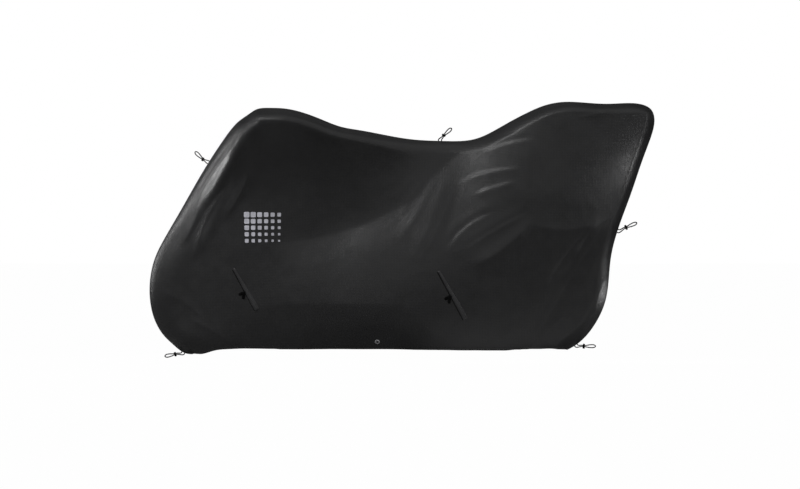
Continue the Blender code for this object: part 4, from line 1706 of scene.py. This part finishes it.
    def flap_seam(self) -> Piece:
        """Makes the stitches that hold the flap down on its right edge.

        Returns:
            The piece.
        """
        line, lift = [], []
        for share in np.linspace(*self.seam_ends, self.seam_samples):
            place, right, _, out = self.at(share)
            aside = self.flap_reach(share) - self.seam_inset
            line.append(place + right * aside + out * self.seam_lift)
            lift.append(out)
        lines = (np.array(line), np.array(lift))
        mesh = stitch_mesh(f"{self.name}_seam", *lines, self.stitch_pitch, self.stitch_length)
        return add_piece(mesh, Finish.THREAD)

    def teeth(self) -> Piece:
        """Makes the closed chain of teeth, in the slit beside the flap.

        Returns:
            The piece.
        """
        shapes = []
        first, margin = self.teeth_ends
        chain, lift = self.tooth_place
        for i, run in enumerate(np.arange(first, self.length - margin, self.tooth_pitch)):
            place, right, ahead, out = self.at(run / self.length)
            aside = chain + self.tooth_aside * (-1 if i % 2 else 1)
            seat = (place + right * aside + out * lift, right, ahead, out)
            shapes.append(box_shape(seat, self.tooth_size, self.tooth_taper))
        return self.piece("teeth", joined(shapes), Finish.TEETH, "zip_tape")

    def slider(self) -> Piece:
        """Makes the zip's slider with the bridge that holds its puller.

        Returns:
            The piece.
        """
        place, right, ahead, out = self.at(self.slider_at)
        width, length, height = self.slider_size
        middle = place - right * self.tape_width / 2
        half = [(a * width, b * length / 2) for a, b in SLIDER_HALF]
        outline = half + [(-a, b) for a, b in half[::-1]]
        plate = ((self.plate_foot, 1.0), (self.plate_top, 1.0))
        cap = ((height - self.cap_thick, 1.0), (height, self.cap_share))
        post = (self.post_width, length * self.post_share, height - self.post_short)
        shapes = [
            plate_shape((middle, right, ahead, out), outline, plate),
            plate_shape((middle, right, ahead, out), outline, cap),
            box_shape((middle + out * self.post_foot, right, ahead, out), post),
            self.bridge((middle + out * (height - self.bridge_sunk), right, ahead, out)),
        ]
        slider = self.piece("slider_body", joined(shapes), Finish.SLIDER, "slider_metal")
        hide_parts(f"{self.name}_slider")
        return slider

    def bridge(self, seat: Seat) -> Shape:
        """The slider's bridge, arched ahead over it.

        Args:
            seat: its place, and unit vectors to the right, ahead and outward.

        Returns:
            The bridge's points and faces.
        """
        place, right, ahead, out = seat
        turn = np.linspace(0, math.pi, self.bridge_steps)
        run, rise = self.bridge_half * np.cos(turn), self.bridge_rise * np.sin(turn)
        path = place + np.outer(run, ahead) + np.outer(rise, out)
        normals = unit(np.cross(right, np.gradient(path, axis=0)))
        across = np.tile(right, (self.bridge_steps, 1))
        return strip_shape(path, normals, across, rectangle(*self.bridge_section))

    def puller(self) -> Piece:
        """Makes the puller: two flat tails hanging from the slider's bridge.

        Returns:
            The piece.
        """
        place, right, _, _ = self.at(self.slider_at)
        root = (place - right * self.tape_width / 2)[[0, 2]]
        tails = [self.tail(root, layer) for layer in range(len(self.pulls))]
        puller = self.piece("pull_tails", joined(tails), Finish.PULLER, "slider_metal", flat=False)
        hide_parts(f"{self.name}_puller")
        return puller

    def tail(self, root: Array, layer: int) -> Shape:
        """One of the puller's tails, bowed, lying on the cloth towards its end.

        Args:
            root: x and z of its start.
            layer: 0 for the tail that lies underneath, 1 for the other.

        Returns:
            The tail's points and faces.
        """
        reach = np.array(self.pulls[layer])
        steps = np.linspace(0, 1, self.pull_steps)
        bow = 4 * self.pull_bow * steps * (1 - steps) * (-1 if layer else 1)
        places = root + np.outer(steps, reach) + np.outer(bow, square_to(unit(reach)))
        points, normals = self.skin.laid(places, self.pull_evened)
        lift = self.slider_size[2] + self.pull_rise + self.pull_layer * layer
        lift = lift - self.pull_fall * smooth(steps * self.pull_fall_rate)
        points = points + normals * lift[:, None]
        across = unit(np.cross(np.gradient(points, axis=0), normals))
        neck = self.pull_neck + (1 - self.pull_neck) * smooth(steps * self.pull_flare)
        from_end, end = self.pull_round
        over = np.maximum(steps - from_end, 0) / end
        half = self.pull_width / 2 * neck * np.sqrt(np.maximum(1 - over**2, self.pull_least))
        sizes = np.stack(np.broadcast_arrays(half, self.pull_thick / 2), axis=-1)
        return strip_shape(points, normals, across, sizes[:, None] * np.array(TAIL_SECTION))


def face_out(mesh: Mesh) -> None:
    """Turns every closed shape's faces outward."""
    work = bmesh.new()
    work.from_mesh(mesh)
    bmesh.ops.recalc_face_normals(work, faces=work.faces)
    work.to_mesh(mesh)
    work.free()


# -- eyelet ---------------------------------------------------------------------


@dataclass
class Eyelet:
    """Pressed metal eyelet in the hem's flat: rolled flange, barrel, back plate."""

    seat: EyeletSeat
    cloth: float = 0.002
    bore: float = 0.0045
    barrel: float = 0.0060
    flange: float = 0.0105
    gap: float = 0.0003
    sides: int = 96

    def build(self) -> Piece:
        """Makes the eyelet as one turned ring.

        Returns:
            The piece.
        """
        section = self.section()
        lean = math.atan(self.seat.slope)
        out = np.array([0.0, -math.cos(lean), -math.sin(lean)])
        up = np.array([0.0, -math.sin(lean), math.cos(lean)])
        middle = np.array([self.seat.x, -self.seat.half_width, self.seat.z])
        turn = TURN * np.arange(self.sides) / self.sides
        spoke = np.outer(np.cos(turn), (1.0, 0, 0)) + np.outer(np.sin(turn), up)
        spots = [middle + spoke * reach + out * height for reach, height in section]
        index = np.arange(len(section) * self.sides).reshape(len(section), self.sides)
        closed = np.pad(index, (0, 1), mode="wrap")
        faces = np.stack(cell_corners(closed), axis=-1).reshape(-1, 4)
        mesh = mesh_of("eyelet_ring", np.concatenate(spots), faces)
        face_out(mesh)
        ring = add_piece(mesh, Finish.EYELET)
        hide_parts("eyelet")
        return ring

    def section(self) -> list[Pair]:
        """Works out the ring's section, from the bore over the face to the back.

        Returns:
            Distances from the axis and heights over the cloth.
        """
        face = self.gap
        back = -self.cloth - self.gap
        return [
            (self.bore, back - 0.0008),
            (self.bore, face + 0.0006),
            (self.bore + 0.0003, face + 0.0016),
            (self.bore + 0.0012, face + 0.0021),
            (self.bore + 0.0024, face + 0.0020),
            (self.flange - 0.0022, face + 0.0014),
            (self.flange - 0.0007, face + 0.0009),
            (self.flange, face + 0.0003),
            (self.flange - 0.0001, face),
            (self.barrel, face),
            (self.barrel, back),
            (self.flange - 0.0008, back),
            (self.flange - 0.0006, back - 0.0004),
            (self.flange - 0.0020, back - 0.0009),
            (self.bore + 0.0010, back - 0.0014),
        ]


# -- cord loops -----------------------------------------------------------------


@dataclass
class CordLoop:
    """Loop of cord caught in the seam by both ends and tied in one knot."""

    name: str
    root: Pair
    knot: Pair
    tip: Pair
    diameter: float = 0.0046
    spread: float = 0.0066
    tuck: float = 0.0060
    lead: float = 0.0040
    pitch: float = 0.0048
    splay: float = 0.0003
    eye_half: float = 0.0062
    eye_shape: Rows = ((0.10, 0.30), (0.28, 0.62), (0.5, 0.9), (0.75, 1.0), (0.93, 0.66))
    step: float = 0.0011
    sides: int = 14
    cross_reach: float = 0.008
    cross_lift: float = 0.0004
    knot_length: float = 0.0100
    knot_entry: Pair = (0.75, 0.2)
    wraps: float = 2.6
    wrap_steps: int = 26
    wrap_sides: int = 12
    wrap_slant: float = 0.0012
    wrap_phase: float = 0.6
    wrap_radius: float = 0.52
    wide: float = 0.87
    deep: float = 0.85
    bulk: float = 1.0

    def build(self, form: CoverForm) -> list[Piece]:
        """Args:
            form: the cover's shape.

        Returns:
            The cord and the knot.
        """
        seat, out = form.seam_place(np.array(self.root) * MM)
        knot, tip = np.array(self.knot) * MM, np.array(self.tip) * MM
        route = smooth_route(self.route(seat, out, knot, tip), self.step)
        path = self.lifted(route, knot)
        mesh = tube_mesh(f"{self.name}_cord", path, self.diameter / 2, self.sides)
        cord = add_piece(mesh, Finish.CORD)
        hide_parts(f"{self.name}_leg_a", f"{self.name}_leg_b", f"{self.name}_eye")
        knot_piece = self.knot_piece(knot, unit(knot - seat))
        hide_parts(f"{self.name}_knot")
        return [cord, knot_piece]

    def route(self, seat: Array, out: Array, knot: Array, tip: Array) -> list[Array]:
        """Side-view points over one strand, round the tip and back down the other.

        Args:
            seat: the loop's place on the seam.
            out: the seam's outward normal there.
            knot: the middle of the knot.
            tip: the far end of the eye.

        Returns:
            The points.
        """
        axis = unit(knot - seat)
        across, beside, far_beside = square_to(out), square_to(axis), square_to(unit(tip - knot))
        half = self.pitch / 2
        strand = [
            (seat + out * place, across * self.spread) for place in (-self.tuck, 0.0, self.lead)
        ]
        for share, aside in zip(self.knot_entry, (half + self.splay, half)):
            strand.append((knot - axis * self.knot_length * share, beside * aside))
        for share, width in self.eye_shape:
            aside = max(width * self.eye_half, half)
            strand.append((knot + (tip - knot) * share, far_beside * aside))
        first = [middle + aside for middle, aside in strand]
        return first + [tip] + [middle - aside for middle, aside in strand[::-1]]

    def lifted(self, route: Array, knot: Array) -> Array:
        """The route in space, its strands passing before each other at the knot.

        Args:
            route: side-view places of the cord.
            knot: the middle of the knot.

        Returns:
            The cord's places in space.
        """
        near = np.exp(-((np.hypot(*(route - knot).T) / self.cross_reach) ** 2))
        side = np.where(np.arange(len(route)) < len(route) / 2, 1, -1)
        return np.stack([route[:, 0], near * side * self.cross_lift, route[:, 1]], axis=-1)

    def knot_piece(self, knot: Array, axis: Array) -> Piece:
        """Makes the knot: a few tight wraps around both strands.

        Args:
            knot: its middle, in the side view.
            axis: the strands' unit vector.

        Returns:
            The piece.
        """
        turn = np.linspace(0, self.wraps * TURN, int(self.wraps * self.wrap_steps))
        ahead = np.array([axis[0], 0, axis[1]])
        beside = np.array([-axis[1], 0, axis[0]])
        wide = (self.pitch / 2 + self.diameter) * self.bulk * self.wide
        place = (turn / turn[-1] - 0.5) * (self.knot_length - self.diameter)
        slant = self.wrap_slant * np.sin(turn / 2 + self.wrap_phase)
        path = (
            np.array([knot[0], 0, knot[1]])
            + np.outer(place + slant, ahead)
            + np.outer(wide * np.cos(turn), beside)
            + np.outer(self.diameter * self.deep * np.sin(turn), (0, 1.0, 0))
        )
        radius = self.diameter * self.wrap_radius
        mesh = tube_mesh(f"{self.name}_tie", path, radius, self.wrap_sides)
        # Its finish is the cord painted darker with shade.
        return add_piece(mesh, Finish.KNOT)


# -- print ----------------------------------------------------------------------


@dataclass
class ReflectivePrint:
    """Reflective pattern: a field of rounded squares that shrink to one side."""

    left: float = -0.837
    right: float = -0.676
    top: float = -0.296
    bottom: float = -0.431
    columns: int = 6
    rows: int = 5
    largest: float = 0.86
    smallest: float = 0.30
    lift: float = 0.00025
    sides: int = 32
    rings: int = 6
    power: int = 6

    def build(self, skin: Skin) -> Piece:
        """Makes the pattern, lying on the cloth.

        Args:
            skin: the panel that carries it.

        Returns:
            The piece.
        """
        pitch_x = (self.right - self.left) / self.columns
        pitch_z = (self.top - self.bottom) / self.rows
        squares = []
        for i in range(self.columns):
            for j in range(self.rows):
                shrink = (i / (self.columns - 1) + j / (self.rows - 1)) / 2
                share = self.largest + (self.smallest - self.largest) * shrink
                middle = (self.left + (i + 0.5) * pitch_x, self.top - (j + 0.5) * pitch_z)
                half = (share * pitch_x / 2, share * pitch_z / 2)
                squares.append(self.square(skin, middle, half))
        mesh = mesh_of("reflective_squares", *joined(squares))
        return add_piece(mesh, Finish.PRINT)

    def square(self, skin: Skin, middle: Pair, half: Pair) -> Shape:
        """One rounded square, in rings so that it follows the cloth.

        Args:
            skin: the panel that carries it.
            middle: x and z of its middle.
            half: half its width and height.

        Returns:
            The square's points and faces.
        """
        turn = TURN * (np.arange(self.sides) + 0.5) / self.sides
        edge = np.stack([np.cos(turn), np.sin(turn)], axis=-1)
        edge /= (np.abs(edge) ** self.power).sum(axis=-1, keepdims=True) ** (1 / self.power)
        shares = np.arange(1, self.rings + 1)[:, None, None] / self.rings
        places = np.array(middle) + np.array(half) * edge * shares
        spots = [self.place(skin, x, z) for x, z in (middle, *places.reshape(-1, 2))]
        faces = []
        for k in range(self.sides):
            after = (k + 1) % self.sides
            faces.append([0, 1 + k, 1 + after])
            for low in range(1, 1 + (self.rings - 1) * self.sides, self.sides):
                high = low + self.sides
                faces.append([low + k, high + k, high + after, low + after])
        return np.array(spots), faces

    def place(self, skin: Skin, x: float, z: float) -> Array:
        """A point a little off the cloth."""
        spot, normal = skin.at(x, z)
        return spot + normal * self.lift


# -- studio ---------------------------------------------------------------------


@dataclass
class SoftBox:
    """Area light that faces the cover and isn't seen itself."""

    name: str
    azimuth: float
    height: float
    size: Pair
    glow: float
    middle: Triple = (-0.19, 0.0, -0.40)
    distance: float = 5.0

    def build(self, reach: bpy.types.Collection | None = None) -> None:
        """Adds the light; its azimuth runs from the camera's side to the right.

        Args:
            reach: pieces that the light falls on, or None for all of them.
        """
        turn, rise = math.radians(self.azimuth), math.radians(self.height)
        level = math.cos(rise)
        ahead = Vector((math.sin(turn) * level, -math.cos(turn) * level, math.sin(rise)))
        light = bpy.data.lights.new(self.name, "AREA")
        light.shape = "RECTANGLE"
        light.size, light.size_y = self.size
        light.energy = self.glow * math.pi * self.size[0] * self.size[1]
        lamp = bpy.data.objects.new(self.name, light)
        lamp.location = Vector(self.middle) + ahead * self.distance
        lamp.rotation_euler = (-ahead).to_track_quat("-Z", "Y").to_euler()
        lamp.visible_camera = False
        if reach:
            lamp.light_linking.receiver_collection = reach
        bpy.context.scene.collection.objects.link(lamp)


@dataclass
class Studio:
    """Camera, pale floor, white surroundings and soft light."""

    camera_place: Triple = (-0.189, -12.0, -0.433)
    sensor: float = 36.0
    lens: float = 128.6
    clip_end: float = 200.0
    floor_height: float = -0.912
    floor_half: float = 60.0
    floor_colour: Colour = (0.30, 0.30, 0.30)
    floor_behind: Colour = (0.03, 0.03, 0.03)
    floor_roughness: float = 0.9
    floor_specular: float = 0.1
    floor_glow: float = 0.99
    floor_fade: float = 0.6
    # painted light: a patch of floor in front of the cover's rear half glows, though it is no lamp,
    # and lights the lower cloth from below
    glow_patch_x: Pair = (-0.05, 1.3)
    glow_patch_y: Pair = (-0.50, -0.15)
    glow_patch_soft: float = 0.1
    glow_patch_level: float = 0.36
    room_height: Quad = (-0.24, 0.11, 0.15, 0.59)
    room_depth: Quad = (0.0, 0.8, 1.0, 0.04)
    lights: tuple[SoftBox, ...] = (
        SoftBox("key", -52, 45, (1.5, 0.9), 20.0),
        SoftBox("edge", -118, 10, (1.0, 2.2), 7.0, (-0.95, 0.0, -0.20)),
        SoftBox("side", -76, 4, (0.06, 0.22), 72.0, (-0.93, -0.22, -0.10), 0.5),
        SoftBox("fill", 70, 0, (0.35, 1.3), 6.5, distance=3.6),
        SoftBox("kick", 14, -18, (0.03, 0.12), 32.0, (0.79, -0.19, -0.09), 0.35),
        SoftBox("edge_right", 76, -25, (0.03, 0.12), 24.0, (0.785, -0.18, -0.08), 0.28),
        SoftBox("rim_right", 122, -8, (0.08, 0.12), 11.0, (0.65, -0.07, -0.66), 0.45),
        SoftBox("back", 180, 38, (2.4, 1.2), 0.1),
    )
    far_lights: tuple[SoftBox, ...] = (
        SoftBox("far_key", -128, 45, (1.5, 0.9), 20.0),
        SoftBox("far_edge", -64, 12, (1.0, 2.2), 7.0),
        SoftBox("far_fill", 112, 4, (0.8, 1.5), 7.0),
        SoftBox("far_room", 180, 19, (9.0, 3.8), 1.5, distance=7.0),
    )

    def camera(self) -> None:
        """Adds the camera, looking along +Y at the near side."""
        lens = bpy.data.cameras.new("camera")
        lens.sensor_width = self.sensor
        lens.lens = self.lens
        lens.clip_end = self.clip_end
        camera = bpy.data.objects.new("camera", lens)
        camera.location = self.camera_place
        camera.rotation_euler = (math.pi / 2, 0, 0)
        bpy.context.scene.collection.objects.link(camera)
        bpy.context.scene.camera = camera

    def surroundings(self, far_pieces: list[Piece]) -> None:
        """Floor, white world and lights.

        Args:
            far_pieces: pieces of the far side, which has lights of its own.
        """
        scene = bpy.context.scene
        scene.view_settings.view_transform = "Standard"
        self.world()
        size = 2 * self.floor_half
        corners = [(x, y, 0) for x, y in rectangle(size, size)]
        mesh = mesh_of("floor", corners, [[0, 1, 2, 3]])
        floor = bpy.data.objects.new("floor", mesh)
        floor.location = (0, 0, self.floor_height)
        scene.collection.objects.link(floor)
        mesh.materials.append(self.floor_material())
        for light in self.lights:
            light.build()
        reach = bpy.data.collections.new("far_side")
        for piece in far_pieces:
            reach.objects.link(piece)
        for light in self.far_lights:
            light.build(reach)

    def world(self) -> None:
        """White to the camera; as light, dim below and brighter overhead."""
        world = bpy.data.worlds.new("surroundings")
        bpy.context.scene.world = world
        world.use_nodes = True
        pad = NodeTree(world.node_tree)
        ground = pad.tree.nodes["Background"]
        ground.inputs["Color"].default_value = (1, 1, 1, 1)
        parts = pad.add("ShaderNodeSeparateXYZ")
        pad.join(pad.add("ShaderNodeTexCoord").outputs["Generated"], parts.inputs[0])
        _, y, z = parts.outputs
        light = pad.maths(
            "MULTIPLY", pad.fade(z, *self.room_height), pad.fade(y, *self.room_depth)
        )
        level = pad.add("ShaderNodeMix")
        level.inputs[3].default_value = 1.0
        pad.join(light, level.inputs[2])
        pad.join(pad.add("ShaderNodeLightPath").outputs["Is Camera Ray"], level.inputs[0])
        pad.join(level.outputs[0], ground.inputs["Strength"])

    def floor_material(self) -> bpy.types.Material:
        """Makes the pale floor, lit to the surroundings' white where the camera sees it.

        Returns:
            The material.
        """
        pad = NodePad(
            "pale_floor", self.floor_colour, self.floor_roughness, self.floor_specular
        )
        rays = pad.add("ShaderNodeLightPath")
        seen = pad.maths("MULTIPLY", rays.outputs["Is Camera Ray"], self.floor_glow)
        glow = pad.add("ShaderNodeEmission")
        mix = pad.add("ShaderNodeMixShader")
        pad.join(seen, mix.inputs[0])
        pad.join(pad.shader.outputs[0], mix.inputs[1])
        parts = pad.add("ShaderNodeSeparateXYZ")
        pad.join(pad.object_place(), parts.inputs[0])
        x, y = parts.outputs[:2]
        behind = pad.fade(y, 0.0, self.floor_fade, 0.0, 1.0)
        floor = pad.tint(behind, self.floor_colour, self.floor_behind)
        pad.join(floor, pad.shader.inputs["Base Color"])
        # Painted light: the floor glows in this patch and lights the cover.
        glow_patch = pad.maths("MULTIPLY", self.span(pad, x, self.glow_patch_x), self.span(pad, y, self.glow_patch_y))
        glow_patch = pad.maths("MULTIPLY", glow_patch, self.glow_patch_level)
        pad.shader.inputs["Emission Color"].default_value = (1, 1, 1, 1)
        pad.join(glow_patch, pad.shader.inputs["Emission Strength"])
        pad.join(glow.outputs[0], mix.inputs[2])
        pad.join(mix.outputs[0], pad.tree.nodes["Material Output"].inputs["Surface"])
        return pad.material

    def span(self, pad: NodePad, value: Socket, ends: Pair) -> Socket:
        """1 between two ends, with soft edges.

        Args:
            pad: the material being made.
            value: what lies between the ends.
            ends: the two ends.

        Returns:
            The result.
        """
        low, high = ends
        rise = pad.fade(value, low - self.glow_patch_soft, low + self.glow_patch_soft, 0.0, 1.0)
        fall = pad.fade(value, high - self.glow_patch_soft, high + self.glow_patch_soft, 1.0, 0.0)
        return pad.maths("MULTIPLY", rise, fall)


# -- the whole cover ------------------------------------------------------------

LOOPS = (
    CordLoop("front_loop", (-992.5, -89), (-1016.5, -75.5), (-1049, -44), diameter=0.0044),
    CordLoop("top_loop", (-21, 2), (-5.5, 25), (27, 54.5)),
    CordLoop("rear_loop", (721, -375), (759.5, -361.5), (805, -342), bulk=1.4),
    CordLoop("front_foot_loop", (-1099, -886), (-1132, -893.5), (-1176, -902), bulk=1.2),
    CordLoop("rear_foot_loop", (550, -855.5), (582, -860), (632, -860), diameter=0.0044, bulk=1.4),
)
PORTS = (
    ZipPort("front_port", (-0.882, -0.534), (-0.788, -0.706), 0.54, 6111),
    ZipPort("rear_port", (-0.032, -0.544), (0.076, -0.744), 0.50, 4943),
)


def near_panel(form: CoverForm) -> ClothPanel:
    """The near panel, which carries the eyelet, ports and print.

    Args:
        form: the cover's shape.

    Returns:
        The panel, not built yet.
    """
    return ClothPanel(
        form,
        Side.NEAR,
        "near_cloth",
        ("near_panel", "hem_strip"),
        NEAR_FOLDS,
        NEAR_SWELLS,
        NEAR_CREASES,
        NEAR_PLEATS,
        columns=440,
        edge_rows=38,
        side_rows=178,
        broad=Crumple(11, 14, 0.20, 0.50, 0.9 * MM),
        fine=Crumple(23, 18, 0.07, 0.18, 0.14 * MM, ridged=True),
    )


def far_panel(form: CoverForm) -> ClothPanel:
    """The far panel, plain from seam to hem.

    Args:
        form: the cover's shape.

    Returns:
        The panel, not built yet.
    """
    return ClothPanel(
        form,
        Side.FAR,
        "far_cloth",
        ("far_panel",),
        FAR_FOLDS,
        FAR_SWELLS,
        FAR_CREASES,
        FAR_PLEATS,
        columns=400,
        edge_rows=14,
        side_rows=126,
        broad=Crumple(31, 14, 0.20, 0.50, 1.2 * MM),
        fine=Crumple(47, 18, 0.07, 0.18, 0.25 * MM, ridged=True),
    )


def main() -> None:
    """Builds the cover, piece by piece, and its surroundings."""
    logging.basicConfig(level=logging.INFO, format="%(name)s: %(message)s")
    studio = Studio()
    studio.camera()
    form = CoverForm(EyeletSeat())
    for loop in LOOPS:
        loop.build(form)
    near, far = near_panel(form), far_panel(form)
    for panel in (near, far):
        panel.build()
        area = sum(face.area for face in panel.piece.data.polygons)
        LOG.info("%s has %.3f m2 of cloth", panel.name, area)
    skin = Skin(near)
    sewn = [near.hem_stitches()]
    for port in PORTS:
        sewn += port.build(skin)
        LOG.info("%s is set", port.name)
    sewn.append(ReflectivePrint().build(skin))
    sewn.append(Eyelet(form.seat).build())
    near.declare(sewn)
    far_stitches = far.hem_stitches()
    far.declare([far_stitches])
    studio.surroundings([far.piece, far_stitches])


if __name__ == "__main__":
    main()
